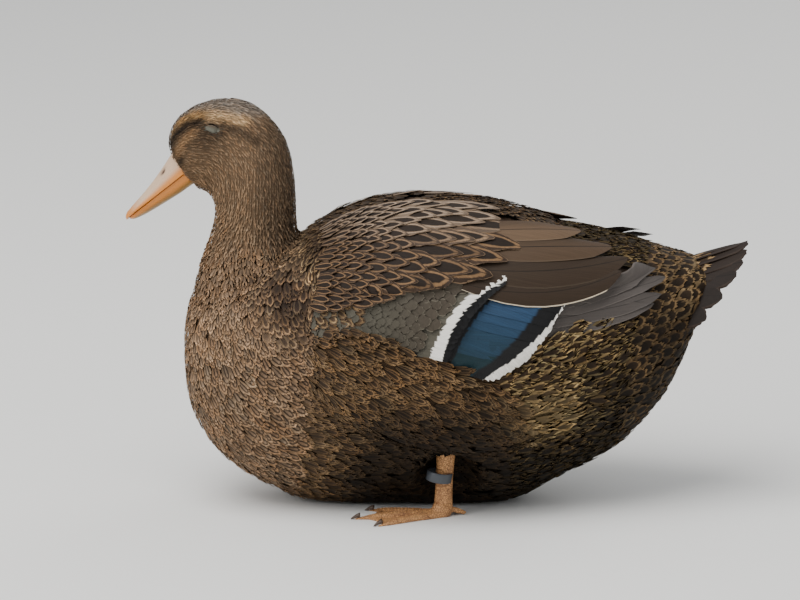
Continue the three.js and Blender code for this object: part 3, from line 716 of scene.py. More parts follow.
def feather_material(name, plain, roughness, gloss, fineness, relief, contrast, marks):
    """Plumage: marks are drawn on each feather's own ground colour, and the barbs' streaks go over them
    as lighter and darker lines and as fine relief."""
    material, tree, surface = new_material(name, plain, roughness, gloss)
    vane = vane_places(tree, fineness)
    colour = marks(tree, own(tree, "ground"), vane)
    tone = stepped(tree, vane.streaks, 0.25, 0.75, 1 - contrast, 1 + contrast)
    tree.links.new(toned(tree, colour, tone), surface.inputs["Base Color"])
    add_relief(tree, surface, vane.streaks, relief, 0.0003)
    return material


def pencilled_material(name, bands, soft):
    """Plumage marked by bands in from the edge of each feather: where each begins and ends, whether it
    has the fringe's or the dark mark's colour, how strong it is, and how far out from the shaft it goes."""
    def marks(tree, colour, vane):
        shift = reckon(tree, "MULTIPLY_ADD", axis_of(tree, own(tree, "grain", "Vector"), "Y"), 0.14, -0.07)
        inward = wandering(tree, reckon(tree, "ADD", vane.inward, shift), vane.streaks, 0.30)
        for low, high, ink, strength, reach in bands:
            strong = stepped(tree, vane.off, reach - 0.15, reach + 0.15, strength, 0.0)
            share = times(tree, within(tree, inward, low, high, soft), strong)
            colour = mixed(tree, share, colour, own(tree, ink))
        # Each feather is painted darker towards its root, as the shade under the feathers that lie over it.
        return toned(tree, colour, stepped(tree, vane.along, 0.2, 0.6, 0.5, 1.0))
    return feather_material(name, BREAST, 0.75, 0.15, 22.0, 0.4, 0.28, marks)


def tones(count, rng, spread):
    """Makes each feather a little lighter or darker, and warmer or colder, than its neighbours."""
    tone = rng.normal(1, spread, (count, 1)).clip(0.6, 1.5)
    return tone, 1 + rng.normal(0, 0.04, (count, 1)) * np.array([[1, 0, -1]])


def body_spacing(points):
    """Distance between feather roots: least at the neck, most along the sides and below."""
    gap = 0.0040 + 0.0012 * smooth_step(0.20 - points[:, 2], 0, 0.12)
    return gap + 0.0012 * smooth_step(points[:, 0], -0.15, -0.05)


def rump_spacing(points):
    return np.full(len(points), 0.0072)


def inside(points, outline):
    """Which points, seen from the side, lie within an outline of x and z in millimetres."""
    x, z = points[:, 0] * 1000, points[:, 2] * 1000
    within_it = np.zeros(len(points), bool)
    for (x1, z1), (x2, z2) in zip(outline, outline[1:] + outline[:1]):
        crosses = (z1 > z) != (z2 > z)
        at = x1 + (z - z1) / np.where(z2 == z1, 1e-9, z2 - z1) * (x2 - x1)
        within_it ^= crosses & (x < at)
    return within_it


CONTOUR = {"rows": [0, 0.35, 0.55, 0.68, 0.8, 0.91, 1], "columns": 13, "tip": 0.30, "round": 2.0, "fray": 0.05,
           "split": 0.16, "height": (0.62, 0.93), "lift": 0.10, "camber": 0.03, "ragged": 0.08}
SHAGGY = {**CONTOUR, "split": 0.34, "round": 1.5, "tip": 0.36, "ragged": 0.20}
# What the folded wing covers, seen from the side, and how far from the middle of the back it begins.
WING_OUTLINE = [(-80, 196), (-76, 168), (-31, 161), (0, 153), (16, 143), (36, 131), (58, 140), (82, 157),
                (124, 163), (160, 172), (166, 188), (140, 198), (118, 214), (60, 238), (-40, 234)]
WING_INNER_EDGE = 0.030
FLANK_TOP = [(-0.074, 0.164), (-0.031, 0.157), (0.000, 0.150), (0.016, 0.140), (0.031, 0.129)]
REAR_START = 0.045


def body_feathers(name, solids, seed, material, buff, dark, long, wide=1.75, wanted=None, spacing=body_spacing,
                  shape=CONTOUR, slot="body_plumage", raised=0.0, hidden=True, varied=0.25):
    """Feathers over some of the solids. Buff is the colour of their pale marks and dark how dark their
    dark marks are, long and wide are shares of the spacing, raised is how far they stand over the edge of
    the wing, hidden leaves out those under it, and varied is how much the pale marks differ."""
    rng = np.random.default_rng(seed)
    numbers = scattered(solids, spacing, seed, wanted)
    gap = spacing(inner[numbers])
    lengths = gap * long * rng.uniform(0.85, 1.2, len(numbers))
    lines = along_lie(numbers, lengths, shape["rows"], rng.normal(0, 0.15, len(numbers)))
    ends = lines[:, -2]
    shown = ~inside(ends, WING_OUTLINE) | (np.abs(ends[:, 1]) < WING_INNER_EDGE) | (not hidden)
    numbers, lines, gap, ends = numbers[shown], lines[shown], gap[shown], ends[shown]
    over = raised * near_line(ends, FLANK_TOP, 0.022)
    grid = vane_grid(lines, gap * wide * rng.uniform(0.9, 1.15, len(numbers)), shape, rng, over)
    ground = ground_colour(inner[numbers])
    # The pale marks are dimmed where the ground is darker, so they carry its painted shade low on the body as
    # well as its darker colours.
    shade = np.clip(ground.mean(1, keepdims=True) / SIDE_BROWN.mean(), 0.35, 1.05)
    vent = patch(*inner[numbers].T[[0, 2]], (0.078, 0.089), (0.028, 0.021))
    pale = blend(np.tile(buff, (len(numbers), 1)) * shade ** 1.6, VENT_BUFF, 0.6 * vent)
    pale = pale * rng.uniform(1 - varied, 1 + varied, (len(numbers), 1))
    tone, warm = tones(len(numbers), rng, 0.16)
    marks = ground * (dark + (1 - dark) * 0.8 * vent[:, None])
    colours = {"ground": ground * tone * warm, "fringe": pale * tone * warm, "dark": marks * tone,
               "grain": rng.uniform(0, 1, (len(numbers), 3))}
    ride_for(feather_mesh(name, grid, colours, material, soft=0.75), slot)


def on_shoulder(points):
    near = ((points[:, 0] + 0.118) / 0.030) ** 2 + ((points[:, 2] - 0.182) / 0.038) ** 2 < 1
    return near | (points[:, 0] > -0.118) & (points[:, 2] > 0.168)


def on_low_neck(points):
    return points[:, 2] < 0.213 - 0.012 * smooth_step(-points[:, 0], 0.14, 0.19)


def over_coverts(points):
    """The part of the folded wing that the shoulder feathers cover, in front of the long scapulars."""
    return (points[:, 2] > 0.165) & (points[:, 0] < -0.068)


breast_plumage = pencilled_material("breast_plumage", [
    (-3, 0.44, "fringe", 0.7, 2), (0.44, 0.78, "dark", 0.95, 0.66)], 0.07)
side_plumage = pencilled_material("side_plumage", [
    (-3, 0.34, "fringe", 0.9, 2), (0.34, 0.54, "dark", 0.95, 2), (0.54, 0.74, "fringe", 0.85, 0.6),
    (0.74, 3, "dark", 0.95, 2)], 0.06)
drop_plumage = pencilled_material("drop_plumage", [
    (-3, 0.46, "fringe", 0.95, 2), (0.46, 3, "dark", 0.95, 0.9)], 0.09)
mantle_plumage = pencilled_material("mantle_plumage", [
    (-3, 0.28, "dark", 0.4, 2), (0.30, 0.62, "fringe", 0.95, 0.75), (0.64, 3, "dark", 0.9, 2)], 0.06)
BREAST_BUFF = paint(152, 121, 91)
SHOULDER_BUFF = paint(158, 126, 92)
FLANK_BUFF = paint(111, 87, 60)
SIDE_BUFF = paint(110, 88, 62)
REAR_BUFF = paint(156, 131, 90)
RUMP_BUFF = paint(150, 122, 86)

body_feathers("breast_feathers", ["breast"], 11, breast_plumage, BREAST_BUFF, 0.20, 2.8, 1.6,
              wanted=lambda points: ~on_shoulder(points))
body_feathers("shoulder_feathers", ["breast"], 18, mantle_plumage, SHOULDER_BUFF * 0.6, 0.4, 2.6,
              wanted=on_shoulder, varied=0.6)
body_feathers("lower_neck_feathers", ["neck"], 12, breast_plumage, BREAST_BUFF, 0.45, 2.6,
              wanted=on_low_neck, shape=SHAGGY)
body_feathers("flank_feathers", ["flank_left", "flank_right"], 13, side_plumage, FLANK_BUFF, 0.22, 3.2, 1.45,
              raised=0.0036, hidden=False, varied=0.35)
body_feathers("side_feathers", ["trunk"], 14, side_plumage, SIDE_BUFF, 0.28, 2.9, 1.45,
              wanted=lambda points: points[:, 0] <= REAR_START, varied=0.35)
body_feathers("rear_side_feathers", ["trunk"], 19, drop_plumage, REAR_BUFF, 0.30, 2.8, 1.4,
              wanted=lambda points: points[:, 0] > REAR_START, shape=SHAGGY, varied=0.4)
body_feathers("rump_feathers", ["rump"], 15, drop_plumage, RUMP_BUFF * 1.3, 0.30, 2.3, 1.6,
              spacing=rump_spacing, varied=0.4)
body_feathers("back_feathers", ["mantle"], 16, mantle_plumage, RUMP_BUFF * 1.5, 0.5, 2.8, 1.5,
              slot="back_plumage", varied=0.4)
body_feathers("wing_shoulder_feathers", ["wing_left", "wing_right"], 20, mantle_plumage, RUMP_BUFF * 0.8, 0.5,
              2.8, 1.5, wanted=over_coverts, slot="back_plumage", hidden=False, varied=0.4)


# ---- Small coverts of the wing --------------------------------------------------------------------
# Short scale-like feathers over the folded forearm, plain olive grey in front and browner behind, with
# faintly paler edges. They end where the white bar of the wing begins.

COVERT_OLIVE = paint(82, 78, 68)
COVERT_BROWN = paint(66, 56, 47)
WING_CONTOUR = {"rows": [0, 0.35, 0.6, 0.8, 0.92, 1], "columns": 9, "tip": 0.34, "round": 2.0, "fray": 0.03,
                "split": 0.05, "height": (0.55, 0.85), "lift": 0.03, "camber": 0.0}
PANEL_WAY = (0.768, 0.641)  # the way the wing's panel runs, seen from the side
# Where the white bar begins, as x and z in millimetres, from below up, and how high the coverts go.
BAR_FRONT = [(-4, 150), (2, 163), (10, 174), (19, 184), (27, 192)]
COVERT_TOP = 201


def panel_bend(line):
    """How far behind the panel's own direction a line lies, as a curve of the place along it."""
    x, z = np.array(line, float).T
    return np.polyfit(PANEL_WAY[0] * x + PANEL_WAY[1] * z, PANEL_WAY[1] * x - PANEL_WAY[0] * z, 2)


def covert_marks(tree, ground, vane):
    # Darker towards the root of each feather: painted shade under the feathers that lie over it.
    colour = mixed(tree, stepped(tree, vane.along, 0.3, 0.9, 0.25, 0.0), ground, COVERT_OLIVE * 0.45)
    back = axis_of(tree, add_node(tree, "ShaderNodeTexCoord").outputs["Object"], "X")
    colour = mixed(tree, stepped(tree, back, -0.06, 0.0, 0.0, 0.6), colour, COVERT_BROWN)
    edge = stepped(tree, vane.inward, 0.04, 0.16, 1.0, 0.0)
    lace = times(tree, stepped(tree, back, -0.045, -0.01, 0.05, 0.5), edge)
    return mixed(tree, lace, colour, COVERT_OLIVE * 2.6)


def wing_spacing(points):
    return 0.0046 + 0.0030 * smooth_step(points[:, 0], -0.06, 0.03)


def wing_colours(count, colour, rng, spread=0.10):
    tone = rng.normal(1, spread, (count, 1)).clip(0.7, 1.35)
    return {"ground": colour * tone, "grain": rng.uniform(0, 1, (count, 3))}


def covert_feathers(side, seed):
    rng = np.random.default_rng(seed)
    numbers = scattered(["wing_" + side, "speculum_" + side], wing_spacing, seed)
    gap = wing_spacing(inner[numbers])
    lines = along_lie(numbers, gap * 2.6, WING_CONTOUR["rows"], rng.normal(-0.1, 0.08, len(numbers)))
    x, _, z = lines[:, -1].T * 1000
    bar = np.polyval(panel_bend(BAR_FRONT), PANEL_WAY[0] * x + PANEL_WAY[1] * z)
    shown = (PANEL_WAY[1] * x - PANEL_WAY[0] * z < bar - 1) & (z < COVERT_TOP)
    grid = vane_grid(lines[shown], gap[shown] * 2.2, WING_CONTOUR, rng)
    colours = wing_colours(len(grid), COVERT_OLIVE, rng, 0.05)
    ride_for(feather_mesh("small_coverts_" + side, grid, colours, olive_covert, soft=0.93), "wing_plumage")


olive_covert = feather_material("olive_covert", COVERT_OLIVE, 0.65, 0.2, 40.0, 0.5, 0.25, covert_marks)
covert_feathers("left", 31)
covert_feathers("right", 32)


# ---- Flight feathers of the wing ------------------------------------------------------------------
# The long vanes of the folded wing: slate primaries below, then the secondaries that carry the blue
# panel, their great coverts with the white bar, and the broad brown tertials that lie over them.

LONG_ROWS = [0, 0.12, 0.25, 0.38, 0.5, 0.6, 0.7, 0.78, 0.85, 0.91, 0.955, 0.985, 1]
PRIMARY = {"rows": LONG_ROWS, "columns": 9, "tip": 0.13, "round": 1.6, "fray": 0.004, "taper": 0.45,
           "height": (0.10, 1.75), "rise": 1.8, "camber": 0.03, "tilt": 0.03, "stack": 0.0010}
PRIMARY_LOOSE = {**PRIMARY, "height": (0.30, 2.6)}  # the right wing stands a little further off
SECONDARY = {"rows": LONG_ROWS, "columns": 9, "tip": 0.035, "round": 2.0, "fray": 0.008, "taper": 0.0,
             "height": (0.15, 1.15), "rise": 1.5, "camber": 0.0, "tilt": 0.03, "stack": 0.0004}
GREAT_COVERT = {"rows": LONG_ROWS, "columns": 9, "tip": 0.07, "round": 2.2, "fray": 0.02, "taper": 0.0,
                "height": (0.05, 1.45), "rise": 1.8, "camber": 0.0, "tilt": 0.03, "stack": 0.0004}
TERTIAL = {"rows": LONG_ROWS, "columns": 13, "tip": 0.16, "round": 1.7, "fray": 0.003, "taper": 0.30,
           "camber": 0.10}

PRIMARY_SLATE = paint(78, 72, 68)
SECONDARY_BLACK = paint(15, 14, 15)
PANEL_BLUE = paint(41, 66, 93)
PANEL_TEAL = paint(14, 42, 48)
BAR_WHITE = paint(232, 227, 217)
TERTIAL_BROWN = paint(60, 48, 37)
TERTIAL_RIM = paint(206, 190, 164)

# Roots and tips on the side of the body, as x and z in millimetres, from the lowest feather up.
PRIMARY_ROOTS = [(62, 158), (62, 182)]
PRIMARY_TIPS = {"left": [(166, 172), (172, 177), (176, 187), (168, 193)],
                "right": [(168, 182), (176, 190), (170, 199), (160, 203)]}
PRIMARY_WIDTH = 0.017
SECONDARY_TIPS = [(38, 128), (47, 129), (57, 134), (70, 143), (84, 158), (91, 171), (100, 182)]
SECONDARY_ROOT = [-82, 18]  # from the tip to the root
SECONDARY_COUNT = 15
SECONDARY_WIDTH = 0.015
GREAT_COVERT_TIPS = [(9, 141), (12, 148), (19, 162), (28, 174), (39, 185), (52, 194)]
GREAT_COVERT_ROOT = [-40, 6]
GREAT_COVERT_COUNT = 18
GREAT_COVERT_WIDTH = 0.0105
# Lines across the panel, from below up: where the white bar ends, where the blue begins and ends, and
# where the white edge behind it begins.
BAR_BACK = [(4, 149), (13, 165), (22, 181), (36, 190), (42, 193)]
BLUE_FRONT = [(15, 148), (22, 163), (32, 174), (42, 186), (50, 193)]
BLUE_BACK = [(38, 135), (52, 146), (68, 165), (81, 181)]
WHITE_EDGE = [(42, 129), (54, 133), (66, 143), (81, 162), (90, 171), (100, 181)]
# Tertials, lowest first: root, middle, tip, width, how pale the rim and how pale the vane is; the upper two
# are painted paler as sheen from the sky.
TERTIALS = [((18, -90, 197), (83, -84, 188), (143, -59, 198), 24, 1.0, 0.85),
            ((18, -82, 208), (83, -75, 203), (148, -47, 205), 30, 0.03, 0.9),
            ((15, -70, 220), (76, -62, 219), (136, -40, 212), 28, 0.03, 1.7),
            ((15, -58, 231), (66, -50, 230), (112, -34, 223), 24, 0.05, 2.8)]
TERTIAL_RISE = (-0.0020, 0.0035)
TERTIAL_STACK = 0.0010
TERTIAL_SETTLED = 0.0055  # how much deeper the two upper ones lie on the right side

skin_tree = BVHTree.FromPolygons([Vector(corner) for corner in inner],
                                 [tuple(face.vertices) for face in skin.data.polygons])


def beside(places, hand):
    """Places on the skin of one side, given as x and z in millimetres."""
    found = []
    for x, z in places:
        start = Vector((x / 1000, -0.2 * hand, z / 1000))
        hit = skin_tree.ray_cast(start, Vector((0, hand, 0)))[0]
        found.append(hit if hit is not None else skin_tree.find_nearest(start)[0])
    return np.array(found)


def spread_between(stations, count):
    """Evenly numbered places along a line of stations."""
    share = np.linspace(0, len(stations) - 1, count)
    return np.stack([np.interp(share, range(len(stations)), axis) for axis in np.array(stations, float).T], -1)


def long_feathers(name, hand, roots, tips, width, shape, colour, material, seed, slot, replaced=(), bow=0.0,
                  shine=None):
    """Long feathers from roots to tips on the skin, bowed downwards by a share of their length, each a
    little higher than the one before. Shine is a second colour for each."""
    rng = np.random.default_rng(seed)
    rows = np.array(shape["rows"])[:, None]
    lines = roots[:, None] * (1 - rows) + tips[:, None] * rows
    length = np.linalg.norm(tips - roots, axis=1)[:, None, None]
    lines = on_skin(lines + np.array([0, 0, -1.0]) * length * bow * 4 * rows * (1 - rows), 0.0)[0]
    grid = vane_grid(lines, width * rng.uniform(0.96, 1.04, len(lines)), shape, rng, hand=hand)
    order = np.linspace(0, shape["stack"], len(lines))[:, None, None, None]
    grid = grid + skin_normal[on_skin(grid, 0.0)[1]] * order
    colours = wing_colours(len(lines), colour, rng)
    if shine is not None:
        colours["fringe"] = shine
    ride_for(feather_mesh(name, grid, colours, material, hand), slot, *replaced)


def free_grid(lines, normals, widths, shape, rng):
    """Corners of stiff feathers that stand free of the skin."""
    side = unit(np.cross(normals, unit(np.gradient(lines, axis=1))))
    points, across = vane_outline(lines, side, widths, shape, rng)
    drop = shape["camber"] * widths[:, None, None] * across ** 2 * np.array(shape["rows"])[:, None] ** 0.5
    return points - normals[:, :, None] * drop[..., None]


def tertial_feathers(name, hand, seed):
    """Broad stiff blades that stand a little off the body and follow its roundness."""
    rng = np.random.default_rng(seed)
    root, middle, tip, widths, rims, pale = [np.array(part) for part in zip(*TERTIALS)]
    root, middle, tip = [place * [1, hand, 1] / 1000 for place in (root, middle, tip)]
    rows = np.array(TERTIAL["rows"])[:, None]
    lines = root[:, None] * (1 - rows) + tip[:, None] * rows
    lines = lines + (middle - (root + tip) / 2)[:, None] * 4 * rows * (1 - rows)
    outwards = unit(np.stack([lines[..., 0] * 0, lines[..., 1], (lines[..., 2] - 0.140) * 0.9], -1))
    stack = np.linspace(0, TERTIAL_STACK, len(lines)) - TERTIAL_SETTLED * np.array([0, 0, 1, 1]) * (hand < 0)
    rise = TERTIAL_RISE[0] + (TERTIAL_RISE[1] - TERTIAL_RISE[0]) * rows + stack[:, None, None]
    lines = lines + outwards * rise
    grid = free_grid(lines, outwards, widths / 1000, TERTIAL, rng)[:, :, ::hand]
    colours = wing_colours(len(lines), TERTIAL_BROWN, rng, 0.06)
    # The upper two tertials are painted paler, as sheen from the sky on them.
    colours["ground"] = colours["ground"] * pale[:, None]
    colours["rim"] = np.repeat(rims[:, None], 3, 1)
    ride_for(feather_mesh(name, grid, colours, brown_tertial, hand), "wing_plumage")


def behind_lines(tree, vane, lines, jag):
    """For each line across the panel, how many millimetres behind it the place on the vane is, a little
    more at the shaft than at the edges, and ragged from barb to barb."""
    place = add_node(tree, "ShaderNodeTexCoord").outputs["Object"]
    way, back = [add_node(tree, "ShaderNodeVectorMath", {0: place, 1: (1000 * x, 0, 1000 * z)},
                          operation="DOT_PRODUCT").outputs["Value"]
                 for x, z in (PANEL_WAY, (PANEL_WAY[1], -PANEL_WAY[0]))]
    bulge = reckon(tree, "MULTIPLY_ADD", vane.off, -jag, jag / 2)
    back = wandering(tree, reckon(tree, "ADD", back, bulge), vane.streaks, 2.4)
    distances = []
    for line in lines:
        square, slope, start = [float(part) for part in panel_bend(line)]
        bend = reckon(tree, "MULTIPLY_ADD", reckon(tree, "MULTIPLY_ADD", way, square, slope), way, start)
        distances.append(reckon(tree, "SUBTRACT", back, bend))
    return distances


def primary_marks(tree, ground, vane):
    """Dark shaft, darker tip and pale edge."""
    colour = striped(tree, ground, vane.off, -1, 0.035, 0.02, PRIMARY_SLATE * 0.45)
    colour = mixed(tree, stepped(tree, vane.along, 0.55, 1.0, 0.0, 0.45), colour, PRIMARY_SLATE * 0.6)
    return striped(tree, colour, vane.off, 0.92, 2, 0.03, PRIMARY_SLATE * 1.9, 0.6)


def secondary_marks(tree, ground, vane):
    """A shining blue field that turns green towards the lowest feathers, and a white tip."""
    front, back, white = behind_lines(tree, vane, [BLUE_FRONT, BLUE_BACK, WHITE_EDGE], 1.5)
    colour = mixed(tree, stepped(tree, front, -0.6, 0.8), SECONDARY_BLACK, own(tree, "fringe"))
    colour = mixed(tree, stepped(tree, back, -1.5, 1.5), colour, SECONDARY_BLACK)
    return mixed(tree, stepped(tree, white, -0.3, 0.3), colour, BAR_WHITE)


def great_covert_marks(tree, ground, vane):
    """Dark shaft, a white band and a black tip."""
    colour = striped(tree, ground, vane.off, -1, 0.05, 0.03, COVERT_OLIVE * 0.55)
    front, back = behind_lines(tree, vane, [BAR_FRONT, BAR_BACK], 2.2)
    colour = mixed(tree, stepped(tree, front, -0.4, 0.4), colour, BAR_WHITE)
    return mixed(tree, stepped(tree, back, -0.3, 0.3), colour, SECONDARY_BLACK)


def tertial_marks(tree, ground, vane):
    """Dark shaft, darker upper edge and a thin pale rim along the lower one."""
    colour = mixed(tree, stepped(tree, vane.across, 0.35, 0.95, 0.0, 0.55), ground, TERTIAL_BROWN * 0.55)
    colour = striped(tree, colour, vane.off, -1, 0.03, 0.015, TERTIAL_BROWN * 0.35)
    rim = times(tree, stepped(tree, vane.across, 0.03, 0.05, 0.9, 0.0), own(tree, "rim", "Fac"))
    return mixed(tree, rim, colour, TERTIAL_RIM)


slate_primary = feather_material("slate_primary", PRIMARY_SLATE, 0.6, 0.25, 170.0, 0.35, 0.16, primary_marks)
panel_secondary = feather_material(
    "panel_secondary", SECONDARY_BLACK, 0.5, 0.3, 130.0, 0.5, 0.28, secondary_marks)
bar_covert = feather_material("bar_covert", COVERT_OLIVE, 0.6, 0.2, 110.0, 0.4, 0.16, great_covert_marks)
brown_tertial = feather_material("brown_tertial", TERTIAL_BROWN, 0.6, 0.2, 170.0, 0.4, 0.2, tertial_marks)
green = np.clip(1.35 - np.arange(SECONDARY_COUNT) / (0.62 * SECONDARY_COUNT), 0, 1)[:, None]

for side, hand in SIDES:
    primary_shape = PRIMARY if side == "left" else PRIMARY_LOOSE
    long_feathers("primary_vanes_" + side, hand, beside(spread_between(PRIMARY_ROOTS, 4), hand),
                  beside(PRIMARY_TIPS[side], hand), PRIMARY_WIDTH, primary_shape, PRIMARY_SLATE, slate_primary,
                  40 + hand, "flight_feathers", ["primaries_" + side], bow=0.02)
    ends = spread_between(SECONDARY_TIPS, SECONDARY_COUNT)
    long_feathers("secondary_vanes_" + side, hand, beside(ends + SECONDARY_ROOT, hand), beside(ends, hand),
                  SECONDARY_WIDTH, SECONDARY, SECONDARY_BLACK, panel_secondary, 43 + hand, "wing_patch",
                  shine=PANEL_BLUE * (1 - green) + PANEL_TEAL * green)
    ends = spread_between(GREAT_COVERT_TIPS, GREAT_COVERT_COUNT)
    long_feathers("great_coverts_" + side, hand, beside(ends + GREAT_COVERT_ROOT, hand), beside(ends, hand),
                  GREAT_COVERT_WIDTH, GREAT_COVERT, COVERT_OLIVE, bar_covert, 46 + hand, "wing_plumage")
    tertial_feathers("tertials_" + side, hand, 49 + hand)


# ---- Scapulars ------------------------------------------------------------------------------------
# The shoulder feathers that fall over the folded wing, small at the front and long and broad behind,
# dark with a thin buff rim and a chestnut loop inside it.

SCAPULAR_DARK = paint(58, 45, 35)
SCAPULAR_SKY_LIT = paint(126, 108, 91)
SCAPULAR_BAND = paint(126, 97, 68)
VANE_RIM = paint(150, 122, 94)
SCAPULAR = {"rows": [0, 0.2, 0.38, 0.55, 0.7, 0.82, 0.91, 0.965, 1], "columns": 11, "tip": 0.30, "round": 1.4,
            "fray": 0.006, "taper": 0.35, "height": (0.80, 1.50), "camber": 0.03}
SCAPULAR_FLAT = {**SCAPULAR, "height": (0.75, 1.20)}
# What the scapulars cover, seen from the side, and how far from the middle of the back they begin.
SCAPULAR_OUTLINE = [(-84, 172), (-60, 176), (-31, 183), (-7, 189), (15, 192), (39, 196), (56, 200), (72, 208),
                    (66, 222), (58, 232), (44, 246), (-30, 252), (-60, 246), (-76, 232)]
SCAPULAR_INNER_EDGE = 0.022


def scapular_marks(tree, ground, vane):
    ragged = wandering(tree, vane.inward, vane.streaks, 0.16)
    colour = striped(tree, ground, ragged, 0.56, 3, 0.05, SCAPULAR_DARK * 0.35, 0.95)
    colour = striped(tree, colour, ragged, 0.36, 0.55, 0.04, own(tree, "fringe"))
    colour = striped(tree, colour, vane.off, -1, 0.03, 0.02, SCAPULAR_DARK * 0.5)
    edge = wandering(tree, vane.inward, vane.streaks, 0.03)
    return striped(tree, colour, edge, -1, 0.05, 0.03, VANE_RIM, 0.5)


def laid_back(tips, lengths, headings, rows):
    """Middle lines that end at given places on the skin and start under the feathers ahead of them."""
    place, near = on_skin(tips, 0.0)
    heading = unit(headings - (headings * skin_normal[near]).sum(1)[:, None] * skin_normal[near])
    lines = [place]
    for step in np.diff(rows)[::-1]:
        place, near = on_skin(place - heading * (step * lengths)[:, None], 0.0)
        heading = unit(heading - (heading * skin_normal[near]).sum(1)[:, None] * skin_normal[near])
        lines.append(place)
    return np.stack(lines[::-1], 1)


def scapular_spacing(points):
    return 0.0054 + 0.0086 * smooth_step(points[:, 0], -0.085, 0.05)


def scapular_feathers(name, hand, shape, seed):
    rng = np.random.default_rng(seed)
    numbers = scattered(
        ["mantle", "breast", "wing_left", "wing_right", "trunk"], scapular_spacing, seed,
        lambda points: inside(points, SCAPULAR_OUTLINE) & (points[:, 1] * hand < -SCAPULAR_INNER_EDGE))
    numbers = numbers[np.argsort(inner[numbers, 0])]
    tips = inner[numbers]
    gap = scapular_spacing(tips)
    lengths = gap * (3.0 + 1.4 * smooth_step(tips[:, 0], -0.04, 0.05)) * rng.uniform(0.92, 1.1, len(tips))
    low = 1 - smooth_step(tips[:, 2], 0.19, 0.235)
    headings = np.stack([np.full(len(tips), 0.95), np.zeros(len(tips)), -0.30 + 0.10 * low], -1)
    headings += rng.normal(0, 0.04, headings.shape)
    lines = laid_back(tips, lengths, headings, shape["rows"])
    grid = vane_grid(lines, gap * 1.45, shape, rng)
    order = np.linspace(0.0012, 0, len(lines))[:, None, None, None]
    grid = grid + skin_normal[on_skin(grid, 0.0)[1]] * order
    colours = wing_colours(len(lines), SCAPULAR_DARK, rng)
    # The upper scapulars along the back are painted paler and greyer, and their loops paler still, as the sky
    # light falling on them.
    high = smooth_step(tips[:, 2], 0.212, 0.238)
    colours["ground"] = blend(colours["ground"], SCAPULAR_SKY_LIT, 0.75 * high)
    band = blend(np.tile(SCAPULAR_BAND, (len(tips), 1)), SCAPULAR_SKY_LIT * 1.6, high)
    colours["fringe"] = blend(colours["ground"], band, rng.uniform(0.45, 1.15, len(tips)))
    ride_for(feather_mesh(name, grid, colours, scapular, soft=0.3), "back_plumage")


scapular = feather_material("scapular", SCAPULAR_DARK, 0.65, 0.2, 90.0, 0.45, 0.25, scapular_marks)
scapular_feathers("scapulars_left", 1, SCAPULAR, 51)
scapular_feathers("scapulars_right", -1, SCAPULAR_FLAT, 52)


# ---- Tail -----------------------------------------------------------------------------------------
# A low arched fan of stiff dark brown feathers with paler edges, the middle ones the longest, and
# blotched coverts over and under its base.

TAIL_COUNT = 12
TAIL_WIDTH = 0.026
TAIL_THICKNESS = 0.0008
TAIL_BROWN = paint(48, 39, 33)
TAIL_VANE = {"rows": LONG_ROWS, "columns": 11, "tip": 0.13, "round": 1.5, "fray": 0.012, "taper": 0.22,
             "camber": 0.05}
TAIL_COVERT = {**CONTOUR, "split": 0.10, "camber": 0.06}
TAIL_COVERT_WIDTH = 0.015
# Rows of coverts: where they start and end along the fan, and how many feathers each has.
TAIL_COVERT_ROWS = [(0.26, 0.66, 11), (0.14, 0.52, 10), (0.02, 0.40, 9)]


def tail_place(side, share):
    """A place on the fan's middle line: side runs from -1 at the outermost left feather to 1."""
    off = np.abs(side)
    root = np.stack([np.full_like(off, 168), side * 20, 184 - 20 * off ** 2], -1)
    tip = np.stack([248 - 38 * off ** 2.4, side * 50, 210 - 52 * off ** 2], -1)
    return (root * (1 - share) + tip * share) / 1000


def fan_up(sides):
    """The way up from the fan at each feather."""
    ahead = tail_place(sides, 1) - tail_place(sides, 0)
    return unit(np.cross(ahead, tail_place(sides + 0.05, 0.7) - tail_place(sides - 0.05, 0.7)))[:, None]


def tail_marks(tree, ground, vane):
    blotch = stepped(tree, noise(tree, 260.0), 0.45, 0.62, 0.0, 0.4)
    colour = mixed(tree, blotch, ground, TAIL_BROWN * 0.5)
    colour = striped(tree, colour, vane.off, -1, 0.04, 0.02, TAIL_BROWN * 0.4)
    edge = wandering(tree, vane.inward, vane.streaks, 0.05)
    return striped(tree, colour, edge, -1, 0.08, 0.03, TAIL_BROWN * 1.8, 0.5)


def tail_fan():
    rng = np.random.default_rng(61)
    sides = np.linspace(-0.98, 0.98, TAIL_COUNT) + rng.normal(0, 0.015, TAIL_COUNT)
    up = fan_up(sides)
    lines = np.stack([tail_place(sides, share) for share in LONG_ROWS], 1)
    lines = lines + up * (0.0012 * (1 - np.abs(sides)))[:, None, None]
    grid = free_grid(lines, up, np.full(TAIL_COUNT, TAIL_WIDTH), TAIL_VANE, rng)
    colours = wing_colours(TAIL_COUNT, TAIL_BROWN, rng)
    # Painted light and shade: the middle feathers, highest in the arch, lighter, and the outer ones, which
    # droop lowest, darker.
    colours["ground"] = colours["ground"] * (1.2 - 0.75 * np.abs(sides))[:, None]
    piece = feather_mesh("tail_vanes", grid, colours, tail_brown)
    thick = piece.modifiers.new("stiff", "SOLIDIFY")
    thick.thickness = TAIL_THICKNESS
    apply_modifiers(piece)
    ride_for(piece, "back_plumage", "tail")


